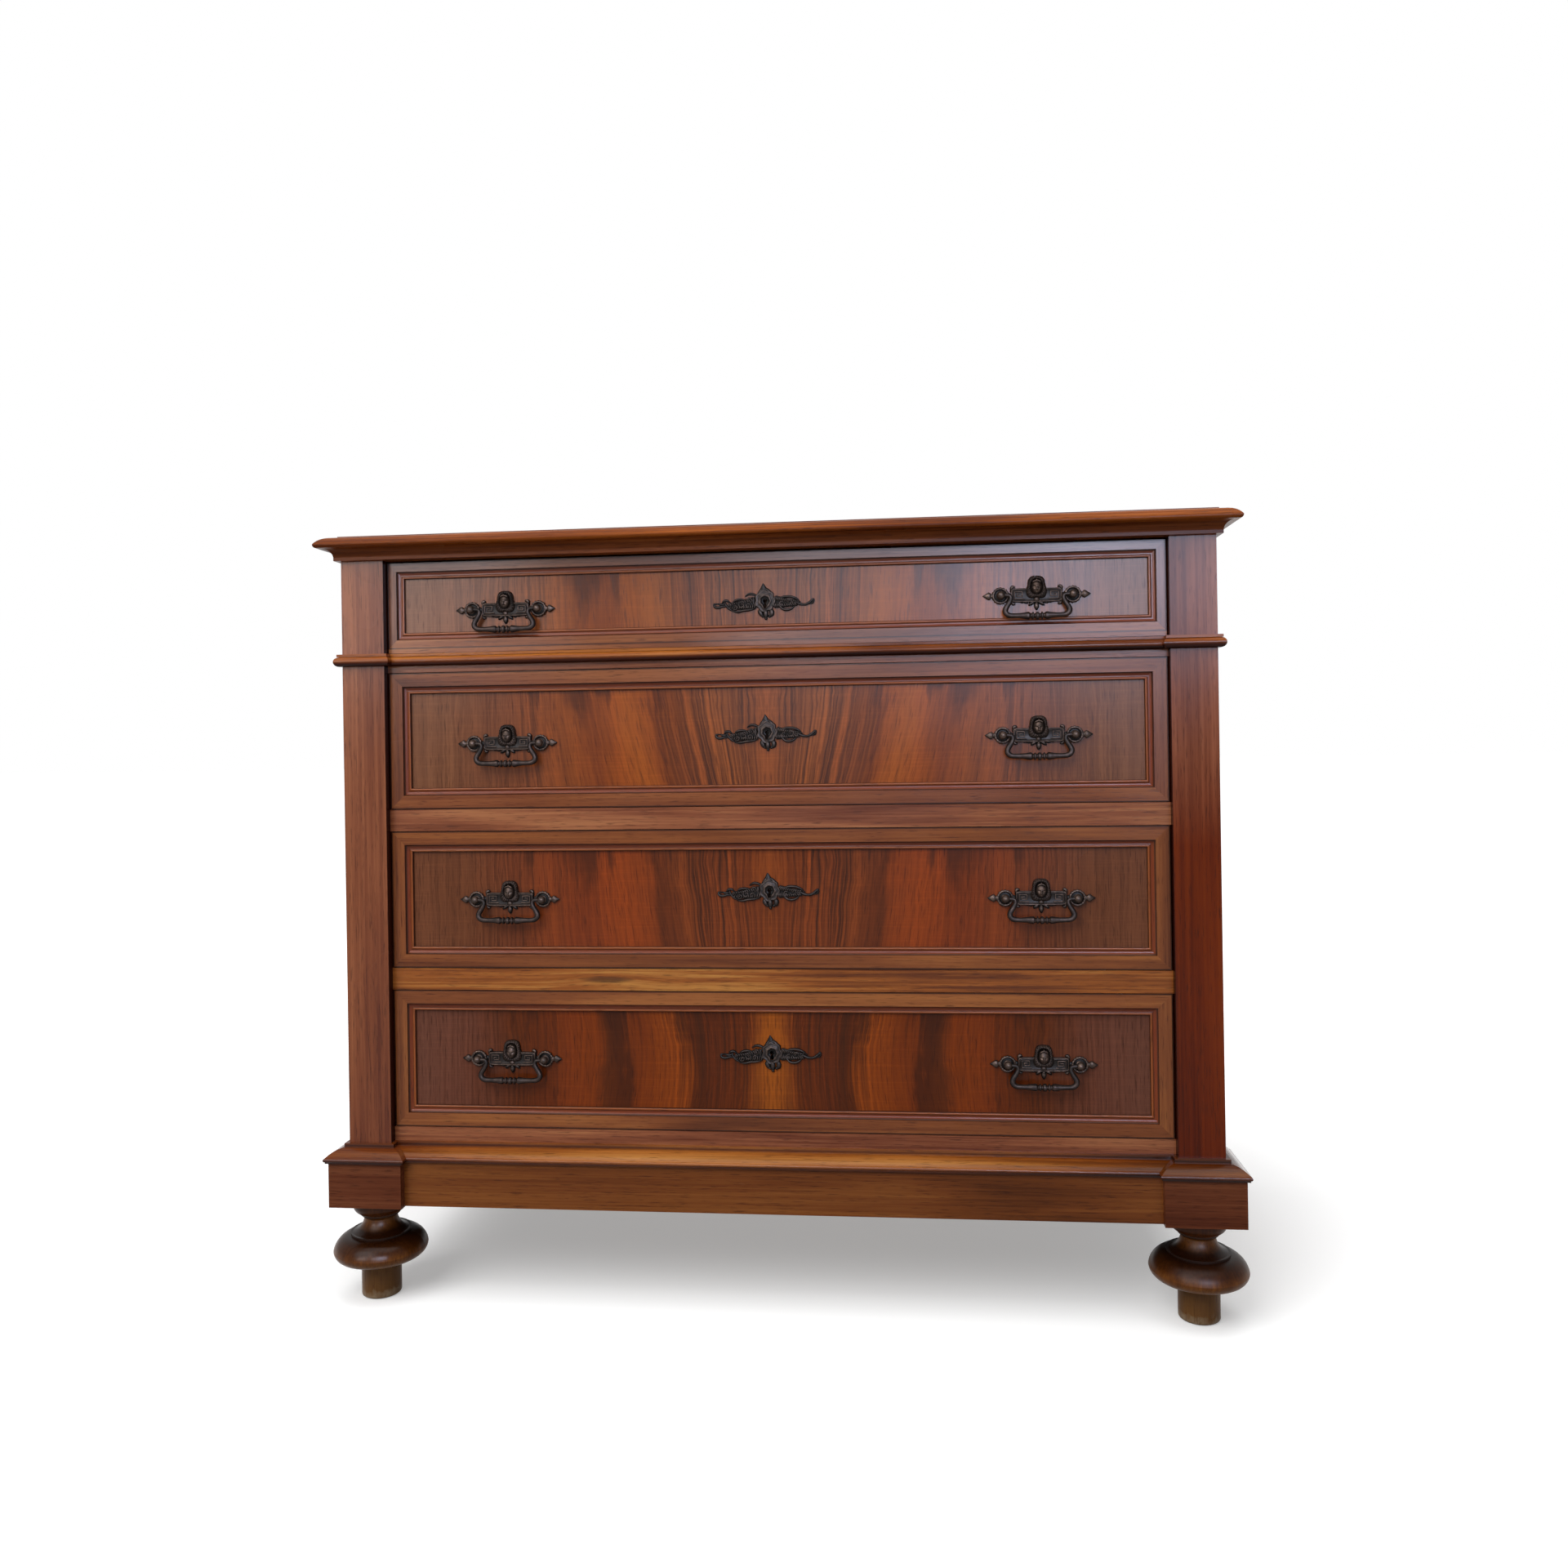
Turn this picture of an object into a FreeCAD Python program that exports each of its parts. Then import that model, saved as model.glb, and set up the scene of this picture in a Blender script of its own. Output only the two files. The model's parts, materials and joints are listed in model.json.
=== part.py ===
# Walnut chest of drawers: a frieze drawer over three deep drawers between corner pilasters, under a
# moulded top and on a plinth with turned bun feet. Millimetres; +X is right, +Y is towards the wall
# and +Z is up. The origin lies on the floor, under the middle of the chest.
import FreeCAD, Part
import math
import os
import re
import Sketcher

# Driving sizes
SIZES = {
    # case
    "case_width": 1108,             # over the outer sides of the two pilasters
    "case_depth": 508,              # from the pilaster faces to the back
    "pilaster_width": 56.5,
    "pilaster_depth": 40,
    "pilaster_proud": 12,           # pilasters stand this far in front of rails, drawers and sides
    "side_thickness": 22,
    "back_thickness": 10,
    "back_board_gap": 0.6,
    "floor_thickness": 10,
    # levels from the floor up
    "foot_height": 127.5,
    "plinth_board_height": 57.5,
    "plinth_moulding_height": 21,
    "bottom_rail_height": 18,
    "deep_opening": 179,
    "rail_height": 28,
    "waist_rail_height": 24.5,
    "shallow_opening": 121.5,
    "cornice_height": 15,
    "top_thickness": 17,
    # top and cornice
    "top_overhang": 26,
    "top_nose_height": 4.7,
    "top_thumb_run": 23,
    "top_step": 2.4,
    "cornice_width": 110,
    "cove_top_projection": 17,
    "cove_bottom_projection": 7,
    "cove_fillet": 4,
    "nose_bulge_share": 0.36,
    "thumb_bulge_share": 0.3,
    "cove_bulge_share": -0.36,
    # rails, runners and guides
    "rail_depth": 70,
    "runner_width": 30,
    "runner_thickness": 16,
    "guide_height": 18,
    # waist moulding
    "waist_height": 16,
    "waist_quirk": 3,
    "waist_bead_height": 12.5,
    "waist_fillet": 5.5,
    "waist_bead_bulge_share": 0.94,
    # plinth
    "block_projection": 20,
    "plinth_thickness": 22,
    "plinth_frame_width": 70,
    "plinth_nose_overhang": 5,
    "plinth_nose_height": 7,
    "plinth_slope_top": 16,
    "plinth_slope_projection": 7,
    "plinth_fillet_projection": 5,
    "plinth_nose_bulge_share": 0.75,
    "plinth_slope_bulge_share": 0.16,
    "rear_block_size": 72,
    # turned feet
    "bun_radius": 60,
    "foot_tip_radius": 25.3,
    "foot_tip_round": 3,
    "spigot_radius": 12,
    "spigot_length": 34,
    "spigot_clearance": 0.2,
    "round_bulge_share": 0.414,
    "bun_low_bulge_share": 0.32,
    "bun_high_bulge_share": 0.35,
    "hollow_bulge_share": -0.3,
    "ovolo_bulge_share": 0.3,
    # drawers
    "drawer_side_gap": 1.3,
    "deep_top_gap": 0.8,
    "shallow_top_gap": 2.5,
    "front_bottom_gap": 0.8,
    "running_clearance": 0.3,
    "front_thickness": 20,
    "drawer_side_thickness": 12,
    "drawer_back_thickness": 10,
    "drawer_side_drop": 8,
    "drawer_rear_gap": 12,
    "drawer_bottom_thickness": 6,
    "drawer_bottom_rise": 9,
    "groove_depth": 5,
    "groove_clearance": 0.2,
    # mitred frames on the drawer fronts
    "frame_thickness": 7,
    "deep_frame_flat": 17.5,
    "shallow_frame_flat": 11.5,
    "shallow_frame_sill": 6,
    "frame_moulding": 9.5,
    "frame_quirk": 2.2,
    "frame_bead": 3.6,
    "frame_bead_height": 2.8,
    "frame_hollow_bulge_share": -0.3,
    "frame_bead_bulge_share": 0.8,
    # handles
    "handle_inset": 157.5,          # from the pilaster to the middle of a handle
    "drawer_one_handle_drop": 4.5,
    "drawer_two_handle_drop": 4.5,
    "drawer_three_handle_drop": 0.5,
    "drawer_four_handle_drop": 0.5,
    "plate_thickness": 3,
    "plate_bar_length": 60,
    "plate_bar_height": 16.5,
    "plate_neck_height": 6,
    "post_spacing": 88.5,
    "ring_radius": 10.5,
    "ring_bulge_share": 0.75,
    "finial_length": 12,
    "finial_width": 7.5,
    "pendant_drop": 18,
    "pendant_width": 20,
    "hood_width": 26,
    "hood_height": 31,
    "hood_depth": 8,
    "face_width": 15,
    "face_height": 21,
    "face_depth": 13,
    "head_rise": 8.5,
    "post_radius": 3,
    "ball_radius": 5.2,
    "ball_reach": 9.5,
    "stud_radius": 2,
    "stud_clearance": 0.3,
    "nut_radius": 5,
    "nut_thickness": 4,
    "nut_clearance": 0.1,
    # bails
    "bail_rod_radius": 2.8,
    "bail_pin_radius": 2,
    "bail_pin_clearance": 0.05,
    "bail_end_gap": 0.5,
    "bail_shoulder": 31,
    "bail_corner": 39.5,
    "bail_drop": 28,
    "bail_shoulder_reach": 4,
    "bail_corner_reach": 9,
    "baluster_length": 44,
    "baluster_radius": 4.3,
    # escutcheons, locks and bolts
    "escutcheon_width": 128,
    "escutcheon_height": 45,
    "escutcheon_thickness": 2.5,
    "drawer_one_key_rise": -2.5,
    "drawer_two_key_rise": 4.5,
    "drawer_three_key_rise": 10,
    "drawer_four_key_rise": 10,
    "keyhole_radius": 2.6,
    "keyhole_slot_width": 2.6,
    "keyhole_slot_drop": 9,
    "lock_width": 70,
    "lock_above_key": 30,
    "lock_below_key": 28,
    "lock_depth": 12,
    "bolt_width": 14,
    "bolt_thickness": 5,
    "bolt_inset": 3.5,
    "bolt_foot": 10,
    "bolt_clearance": 0.3,
    "mortise_depth": 10,
    "staple_width": 28,
    "staple_height": 12,
    "staple_drop": 10,
    # every cut runs past the wood by this much
    "overrun": 5,
}
BACK_BOARDS = 5

# Levels and planes of the chest, written in the driving sizes
FACE = "((bun_radius - pilaster_width / 2 - case_depth) / 2)"
RAIL_FACE = f"({FACE} + pilaster_proud)"
PANEL_FACE = f"({RAIL_FACE} + frame_thickness)"
FRONT_BACK = f"({PANEL_FACE} + front_thickness)"
BACK = f"({FACE} + case_depth)"
BACK_INNER = f"({BACK} - back_thickness)"
PILASTER_BACK = f"({FACE} + pilaster_depth)"
RAIL_BACK = f"({RAIL_FACE} + rail_depth)"
OUTER = "(case_width / 2)"
INNER = "(case_width / 2 - pilaster_width)"
SIDE_FACE = "(case_width / 2 - pilaster_proud)"
SIDE_INNER = f"({SIDE_FACE} - side_thickness)"
DRAWER_EDGE = f"({INNER} - drawer_side_gap)"
DRAWER_INNER = f"({DRAWER_EDGE} - drawer_side_thickness)"
DRAWER_REAR = f"({BACK_INNER} - drawer_rear_gap)"
HINGE = f"({PANEL_FACE} - ball_reach)"
HANDLE = f"({INNER} - handle_inset)"
PLINTH_TOP = "(foot_height + plinth_board_height)"
CASE_BOTTOM = f"({PLINTH_TOP} + plinth_moulding_height)"
STEP_UP = "(deep_opening + rail_height)"
OPENING_FOUR = f"({CASE_BOTTOM} + bottom_rail_height)"
OPENING_THREE = f"({OPENING_FOUR} + {STEP_UP})"
OPENING_TWO = f"({OPENING_THREE} + {STEP_UP})"
OPENING_ONE = f"({OPENING_TWO} + deep_opening + waist_rail_height)"
CORNICE_BOTTOM = f"({OPENING_ONE} + shallow_opening)"
TOP_BOTTOM = f"({CORNICE_BOTTOM} + cornice_height)"
TOP = f"({TOP_BOTTOM} + top_thickness)"

# Each drawer: its number word, the bottom of its opening, and the kind that gives its height and frame
DRAWERS = (
    ("one", OPENING_ONE, "shallow"),
    ("two", OPENING_TWO, "deep"),
    ("three", OPENING_THREE, "deep"),
    ("four", OPENING_FOUR, "deep"),
)

doc = FreeCAD.newDocument("chest_of_drawers")
sheet = doc.addObject("Spreadsheet::Sheet", "Sizes")
for row, (alias, number) in enumerate(SIZES.items(), 1):
    sheet.set(f"A{row}", alias)
    sheet.set(f"B{row}", str(number))
    sheet.setAlias(f"B{row}", alias)
doc.recompute()
nodes = []


def in_cells(expression):
    """An expression of size names, written with the cells that hold them."""
    return re.sub("[a-z_]+", lambda word: ("Sizes." if word[0] in SIZES else "") + word[0], expression)


def worth(expression):
    """The number that an expression of size names comes to."""
    return float(sheet.evalExpression(in_cells(expression)))


def bind(piece, setting, expression):
    piece.setExpression(setting, in_cells(expression))


def move(piece, x="0", y="0", z="0"):
    for axis, place in zip("xyz", (x, y, z)):
        bind(piece, f"Placement.Base.{axis}", place)
    return piece


def node(piece, label):
    """List a finished piece of the chest under its own name."""
    piece.Label = label
    nodes.append(piece)
    return piece


def board(name, x, y, z):
    """A squared board between a low and a high limit on each axis."""
    piece = doc.addObject("Part::Box", name)
    for setting, (low, high) in zip(("Length", "Width", "Height"), (x, y, z)):
        bind(piece, setting, f"({high}) - ({low})")
    return move(piece, x[0], y[0], z[0])


def both_sides(inner, outer):
    """Left and right limits of a pair of pieces that lie between two distances from the middle."""
    return (("left", (f"-{outer}", f"-{inner}")), ("right", (inner, outer)))


def rod(name, radius, length, direction, x, y, z):
    """A round bar that starts at a point and runs along a direction."""
    piece = doc.addObject("Part::Cylinder", name)
    bind(piece, "Radius", radius)
    bind(piece, "Height", length)
    upright = FreeCAD.Vector(0, 0, 1)
    piece.Placement = FreeCAD.Placement(FreeCAD.Vector(), FreeCAD.Rotation(upright, FreeCAD.Vector(*direction)))
    return move(piece, x, y, z)


def group(name, pieces):
    piece = doc.addObject("Part::Compound", name)
    piece.Links = pieces
    return piece


def placed(name, source, x, y, z, turn=0):
    """A copy of a finished piece, turned about the Y axis by degrees and set down at a point."""
    piece = group(name, [source])
    piece.Placement = FreeCAD.Placement(FreeCAD.Vector(), FreeCAD.Rotation(FreeCAD.Vector(0, 1, 0), turn))
    return move(piece, x, y, z)


def joined(name, pieces):
    piece = doc.addObject("Part::MultiFuse", name)
    piece.Shapes = pieces
    return piece


def shared(name, first, second):
    """What two crossing bars have in common: a block with its mouldings returned round the corners."""
    piece = doc.addObject("Part::Common", name)
    piece.Base = first
    piece.Tool = second
    return piece


def cut(name, base, tools):
    piece = doc.addObject("Part::Cut", name)
    piece.Base = base
    piece.Tool = tools[0] if len(tools) == 1 else group(f"{name}_tools", tools)
    return piece


def mirrored(name, source):
    """The same piece on the other side of the chest's middle."""
    piece = doc.addObject("Part::Mirroring", name)
    piece.Source = source
    piece.Normal = (1, 0, 0)
    piece.Base = (0, 0, 0)
    return piece


def arc_edge(start, end, bulge):
    """An arc from start to end; its sagitta is the bulge times half the chord, outwards if positive."""
    chord = end - start
    radius = chord.Length * (1 + bulge ** 2) / (4 * abs(bulge))
    outward = FreeCAD.Vector(chord.y, -chord.x, 0).normalize()
    sagitta = bulge * chord.Length / 2
    centre = (start + end) / 2 + outward * (sagitta - math.copysign(radius, bulge))
    first, last = (start, end) if bulge > 0 else (end, start)
    angles = [math.atan2(point.y - centre.y, point.x - centre.x) for point in (first, last)]
    return Part.ArcOfCircle(Part.Circle(centre, FreeCAD.Vector(0, 0, 1), radius), *angles)


def draw(body, name, plane, loops, closed=True):
    """Sketch loops of points on one of the body's origin planes. A point is two expressions, and a
    third one bows the edge that leaves it. Every point and every radius is tied to the sheet."""
    sketch = body.newObject("Sketcher::SketchObject", name)
    support = next(item for item in body.Origin.OriginFeatures if item.Role == plane)
    sketch.AttachmentSupport = [(support, "")]
    sketch.MapMode = "FlatFace"
    for loop in loops:
        first = sketch.GeometryCount
        corners = [FreeCAD.Vector(worth(point[0]), worth(point[1]), 0) for point in loop]
        edges = len(loop) if closed else len(loop) - 1
        ends = []
        for index in range(edges):
            following = (index + 1) % len(loop)
            bulge = worth(loop[index][2]) if len(loop[index]) > 2 else 0
            if bulge:
                sketch.addGeometry(arc_edge(corners[index], corners[following], bulge), False)
            else:
                sketch.addGeometry(Part.LineSegment(corners[index], corners[following]), False)
            ends.append((2, 1) if bulge < 0 else (1, 2))
        for index in range(edges):
            edge = first + index
            tie_point(sketch, edge, ends[index][0], loop[index])
            if index + 1 < edges or closed:
                following = (index + 1) % len(loop)
                joint = Sketcher.Constraint("Coincident", edge, ends[index][1], first + following, ends[following][0])
                sketch.addConstraint(joint)
            else:
                tie_point(sketch, edge, ends[index][1], loop[index + 1])
            if len(loop[index]) > 2:
                tie_radius(sketch, edge, loop[index], loop[(index + 1) % len(loop)])
    return sketch


def tie(sketch, label, constraint, expression):
    number = sketch.addConstraint(constraint)
    sketch.renameConstraint(number, label)
    bind(sketch, f"Constraints.{label}", expression)


def tie_point(sketch, edge, end, point):
    for kind, expression in zip(("DistanceX", "DistanceY"), point):
        held = Sketcher.Constraint(kind, -1, 1, edge, end, worth(expression))
        tie(sketch, f"{kind}{edge}end{end}", held, expression)


def tie_radius(sketch, edge, point, following):
    run, rise = (f"({high} - ({low}))" for low, high in zip(point, following[:2]))
    radius = f"sqrt({run} ^ 2 + {rise} ^ 2) * (1 + {point[2]} ^ 2) / (4 * abs({point[2]}))"
    tie(sketch, f"Radius{edge}", Sketcher.Constraint("Radius", edge, worth(radius)), radius)


def bar(name, plane, loops, length):
    """A bar of constant section: the section on a plane, carried evenly to both sides of it."""
    body = doc.addObject("PartDesign::Body", name)
    pad = body.newObject("PartDesign::Pad", f"{name}_pad")
    pad.Profile = draw(body, f"{name}_section", plane, loops)
    pad.SideType = "Symmetric"
    bind(pad, "Length", length)
    return body


def turned(name, plane, loop, axis):
    """A piece turned on a lathe: half its outline, swung right round an axis of its sketch."""
    body = doc.addObject("PartDesign::Body", name)
    lathe = body.newObject("PartDesign::Revolution", f"{name}_turning")
    sketch = draw(body, f"{name}_half", plane, [loop])
    lathe.Profile = sketch
    lathe.ReferenceAxis = (sketch, [axis])
    return body


def rising_edge(profile, plane):
    """A moulding's profile on the far side of a section, from the bottom up."""
    return [(f"{plane} + ({point[0]})", *point[1:]) for point in profile]


def falling_edge(profile, plane):
    """The same profile on the near side, from the top down, so each bow moves to the point above."""
    bows = [point[2:] for point in profile[-2::-1]] + [()]
    return [(f"{plane} - ({point[0]})", point[1], *bow) for point, bow in zip(profile[::-1], bows)]


def mirror_outline(half):
    """A whole outline from its right half, given from the bottom middle up to the top middle."""
    left = falling_edge(half, "0")
    return half[:-1] + [half[-1][:2] + left[0][2:]] + left[1:-1]


def plain_edge(low, high):
    return [("0", low), ("0", high)]


def moulded_block(name, profile, x_planes, y_planes, y_back_profile):
    """A block with one moulding on its left, right and front, and another edge at the back."""
    lengthwise = bar(f"{name}_lengthwise", "XZ_Plane",
                     [rising_edge(profile, x_planes[1]) + falling_edge(profile, x_planes[0])], "2 * case_depth")
    crosswise = bar(f"{name}_crosswise", "YZ_Plane",
                    [rising_edge(y_back_profile, y_planes[1]) + falling_edge(profile, y_planes[0])], "2 * case_width")
    return shared(name, lengthwise, crosswise)


# Top board: a solid walnut panel with a thumb moulding on its front and ends
def make_top():
    rise = f"{TOP_BOTTOM} + top_nose_height"
    shoulder = f"{TOP} - top_step"
    thumb = [
        ("top_overhang - top_nose_height / 2", TOP_BOTTOM, "nose_bulge_share"),
        ("top_overhang", rise, "thumb_bulge_share"),
        ("top_overhang - top_thumb_run", shoulder),
        ("top_overhang - top_thumb_run", TOP),
    ]
    node(moulded_block("top_board", thumb, (f"-{OUTER}", OUTER), (FACE, BACK), plain_edge(TOP_BOTTOM, TOP)),
         "top_board")


# Cornice: a coved frame under the top, with the front rail housing the frieze drawer's bolt
def make_cornice():
    cove_start = f"{CORNICE_BOTTOM} + cove_fillet"
    cove = [
        ("cove_bottom_projection", CORNICE_BOTTOM),
        ("cove_bottom_projection", cove_start, "cove_bulge_share"),
        ("cove_top_projection", TOP_BOTTOM),
    ]
    front_back = f"({FACE} + cornice_width)"
    square_back = plain_edge(CORNICE_BOTTOM, TOP_BOTTOM)
    front = moulded_block("cornice_front_blank", cove, (f"-{OUTER}", OUTER), (FACE, front_back), square_back)
    node(cut("cornice_front", front, [bolt_mortise("cornice_mortise", CORNICE_BOTTOM)]), "cornice_front")
    section = rising_edge(cove, OUTER) + falling_edge(square_back, f"({OUTER} - cornice_width)")
    right = bar("cornice_right", "XZ_Plane", [section], f"{BACK} - {front_back}")
    move(right, y=f"({BACK} + {front_back}) / 2")
    rear_side = f"({OUTER} - cornice_width)"
    rear = board("cornice_rear", (f"-{rear_side}", rear_side), (f"{BACK} - cornice_width", BACK),
                 (CORNICE_BOTTOM, TOP_BOTTOM))
    node(group("cornice_frame", [right, mirrored("cornice_left", right), rear]), "cornice_frame")


def bolt_mortise(name, underside):
    """The pocket that a lock bolt rises into, in the underside of the rail above its drawer."""
    side = "(bolt_width / 2 + bolt_clearance)"
    near = f"({FRONT_BACK} + bolt_inset - bolt_clearance)"
    far = f"({FRONT_BACK} + bolt_inset + bolt_thickness + bolt_clearance)"
    return board(name, (f"-{side}", side), (near, far), (f"{underside} - overrun", f"{underside} + mortise_depth"))


# Case: pilasters, side boards and back boards that stand on the plinth and carry the cornice
def make_case():
    height = (CASE_BOTTOM, CORNICE_BOTTOM)
    for hand, x in both_sides(INNER, OUTER):
        node(board(f"{hand}_pilaster", x, (FACE, PILASTER_BACK), height), f"{hand}_pilaster")
    for hand, x in both_sides(SIDE_INNER, SIDE_FACE):
        node(board(f"{hand}_side", x, (PILASTER_BACK, BACK), height), f"{hand}_side")
    pitch = f"(2 * {SIDE_INNER} / {BACK_BOARDS})"
    planks = []
    for number in range(BACK_BOARDS):
        left = f"{number} * {pitch} - {SIDE_INNER}"
        right = f"{left} + {pitch} - back_board_gap"
        planks.append(board(f"back_board_{number}", (left, right), (BACK_INNER, BACK), height))
    node(group("back_boards", planks), "back_boards")
    floor_top = f"{CASE_BOTTOM} + floor_thickness"
    floor = board("case_floor", (f"-{SIDE_INNER}", SIDE_INNER), (RAIL_BACK, BACK_INNER), (CASE_BOTTOM, floor_top))
    node(floor, "case_floor")


# Rails across the front, with runners behind them and guides that keep the drawers straight
def make_rails_and_runners():
    across = (f"-{INNER}", INNER)
    depth = (RAIL_FACE, RAIL_BACK)
    rails = [board("bottom_rail", across, depth, (CASE_BOTTOM, OPENING_FOUR))]
    for name, opening, above in (("fourth", OPENING_FOUR, OPENING_THREE), ("third", OPENING_THREE, OPENING_TWO),
                                 ("second", OPENING_TWO, OPENING_ONE)):
        underside = f"({opening} + deep_opening)"
        blank = board(f"{name}_rail_blank", across, depth, (underside, above))
        rails.append(cut(f"{name}_rail", blank, [bolt_mortise(f"{name}_mortise", underside)]))
    node(group("drawer_rails", rails), "drawer_rails")
    runners = []
    guides = []
    runner_inner = f"({INNER} - runner_width)"
    for word, opening, kind in DRAWERS:
        under = f"{opening} - {'bottom_rail_height + floor_thickness' if word == 'four' else 'runner_thickness'}"
        for hand, x in both_sides(runner_inner, SIDE_INNER):
            runners.append(board(f"{hand}_runner_{word}", x, (RAIL_BACK, BACK_INNER), (under, opening)))
        for hand, x in both_sides(INNER, SIDE_INNER):
            level = (opening, f"{opening} + guide_height")
            guides.append(board(f"{hand}_guide_{word}", x, (PILASTER_BACK, BACK_INNER), level))
    node(group("drawer_runners", runners), "drawer_runners")
    node(group("drawer_guides", guides), "drawer_guides")


# Waist moulding: a half round under a fillet, planted on the rail, the pilasters and the sides
def make_waist_moulding():
    top = OPENING_ONE
    bottom = f"({top} - waist_height)"
    bead_top = f"{bottom} + waist_bead_height"
    half_round = [
        ("waist_quirk", bottom, "waist_bead_bulge_share"),
        ("waist_quirk", bead_top),
        ("waist_fillet", bead_top),
        ("waist_fillet", top),
    ]
    block = moulded_block("waist_block", half_round, (INNER, OUTER), (FACE, PILASTER_BACK), half_round)
    within = (f"{bottom} - overrun", f"{top} + overrun")
    post = board("waist_post", (INNER, OUTER), (FACE, PILASTER_BACK), within)
    inside = board("waist_inside", (f"{INNER} - rail_depth", INNER), (RAIL_FACE, BACK), within)
    behind = board("waist_behind", (f"{INNER} - rail_depth", SIDE_FACE), (PILASTER_BACK, BACK), within)
    collar = cut("right_waist_collar", block, [joined("waist_room", [post, inside, behind])])
    flat = plain_edge(bottom, top)
    run = bar("waist_front_run", "YZ_Plane", [rising_edge(flat, RAIL_FACE) + falling_edge(half_round, RAIL_FACE)],
              f"2 * {INNER}")
    front = cut("waist_front", run, [block, mirrored("waist_block_left", block)])
    side_run = bar("waist_side_run", "XZ_Plane",
                   [rising_edge(half_round, SIDE_FACE) + falling_edge(flat, SIDE_FACE)], f"{BACK} - {PILASTER_BACK}")
    move(side_run, y=f"({BACK} + {PILASTER_BACK}) / 2")
    side = cut("right_waist_side", side_run, [block])
    pieces = [front, collar, side, mirrored("left_waist_collar", collar), mirrored("left_waist_side", side)]
    node(group("waist_moulding", pieces), "waist_moulding")


# Plinth: boards and corner blocks that the feet are pegged into, under a moulded cap frame
def make_plinth():
    level = ("foot_height", PLINTH_TOP)
    block_inner = f"({INNER} - block_projection)"
    block_outer = f"({OUTER} + block_projection)"
    block_back = f"({FACE} + pilaster_width + block_projection)"
    front_face = f"({RAIL_FACE} - block_projection)"
    board_outer = f"({SIDE_FACE} + block_projection)"
    board_inner = f"({board_outer} - plinth_thickness)"
    across = (f"-{block_inner}", block_inner)
    node(board("plinth_front", across, (front_face, f"{front_face} + plinth_thickness"), level), "plinth_front")
    sides = [board(f"{hand}_plinth_side", x, (block_back, BACK), level)
             for hand, x in both_sides(board_inner, board_outer)]
    node(group("plinth_sides", sides), "plinth_sides")
    back_inner = f"({BACK} - plinth_thickness)"
    node(board("plinth_back", (f"-{board_inner}", board_inner), (back_inner, BACK), level), "plinth_back")
    blocks = []
    for hand, x in both_sides(block_inner, block_outer):
        front = board(f"{hand}_front_block_blank", x, (f"{FACE} - block_projection", block_back), level)
        blocks.append(cut(f"{hand}_front_block", front, [spigot_hole(f"{hand}_front_hole", hand, *FRONT_FOOT)]))
    rear_inner = f"({board_inner} - rear_block_size)"
    for hand, x in both_sides(rear_inner, board_inner):
        rear = board(f"{hand}_rear_block_blank", x, (f"{back_inner} - rear_block_size", back_inner), level)
        blocks.append(cut(f"{hand}_rear_block", rear, [spigot_hole(f"{hand}_rear_hole", hand, *REAR_FOOT)]))
    node(group("plinth_blocks", blocks), "plinth_blocks")
    make_plinth_moulding()


def make_plinth_moulding():
    nose_low = f"{PLINTH_TOP} + plinth_nose_height / 4"
    nose = "block_projection + plinth_nose_overhang"
    slope_top = f"{PLINTH_TOP} + plinth_slope_top"
    cap = [
        (f"{nose} - plinth_nose_height / 4", PLINTH_TOP),
        (f"{nose} - plinth_nose_height / 4", nose_low, "plinth_nose_bulge_share"),
        (f"{nose} - plinth_nose_height / 4", f"{PLINTH_TOP} + plinth_nose_height", "plinth_slope_bulge_share"),
        ("plinth_slope_projection", slope_top),
        ("plinth_fillet_projection", slope_top),
        ("plinth_fillet_projection", CASE_BOTTOM),
    ]
    back_plane = f"({FACE} + pilaster_width)"
    right_cap = moulded_block("right_plinth_cap", cap, (INNER, OUTER), (FACE, back_plane), cap)
    left_cap = mirrored("left_plinth_cap", right_cap)
    flat = plain_edge(PLINTH_TOP, CASE_BOTTOM)
    run = bar("plinth_cap_run", "YZ_Plane", [rising_edge(flat, back_plane) + falling_edge(cap, RAIL_FACE)],
              f"2 * {INNER}")
    front = cut("front_plinth_cap", run, [right_cap, left_cap])
    frame_inner = f"({SIDE_FACE} - plinth_frame_width)"
    side_run = bar("plinth_side_cap_run", "XZ_Plane",
                   [rising_edge(cap, SIDE_FACE) + falling_edge(flat, frame_inner)], f"{BACK} - {back_plane}")
    move(side_run, y=f"({BACK} + {back_plane}) / 2")
    side = cut("right_plinth_side_cap", side_run, [right_cap])
    rear = board("rear_plinth_cap", (f"-{frame_inner}", frame_inner), (f"{BACK} - plinth_frame_width", BACK),
                 (PLINTH_TOP, CASE_BOTTOM))
    pieces = [front, right_cap, left_cap, side, mirrored("left_plinth_side_cap", side), rear]
    node(group("plinth_moulding", pieces), "plinth_moulding")


# Feet: turned buns with a ring, a hollow neck and a cap, pegged into the plinth blocks
REAR_BLOCK_MIDDLE = "(case_width / 2 - pilaster_proud + block_projection - plinth_thickness - rear_block_size / 2)"
FRONT_FOOT = ("(case_width / 2 - pilaster_width / 2)", f"({FACE} + pilaster_width / 2)")
REAR_FOOT = (REAR_BLOCK_MIDDLE, f"({BACK} - bun_radius)")
FOOT_RADIUS_SHARES = {"shoulder_share": 0.83, "ring_share": 0.64, "hollow_share": 0.59, "neck_share": 0.35,
                      "fillet_share": 0.42, "cap_share": 0.585}
FOOT_LEVEL_SHARES = {"tip_share": 0.368, "shoulder_share": 0.388, "bun_share": 0.482, "bun_top_share": 0.635,
                     "ring_top_share": 0.659, "neck_share": 0.796, "fillet_share": 0.8275, "fillet_top_share": 0.845,
                     "cap_share": 0.925}


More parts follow.
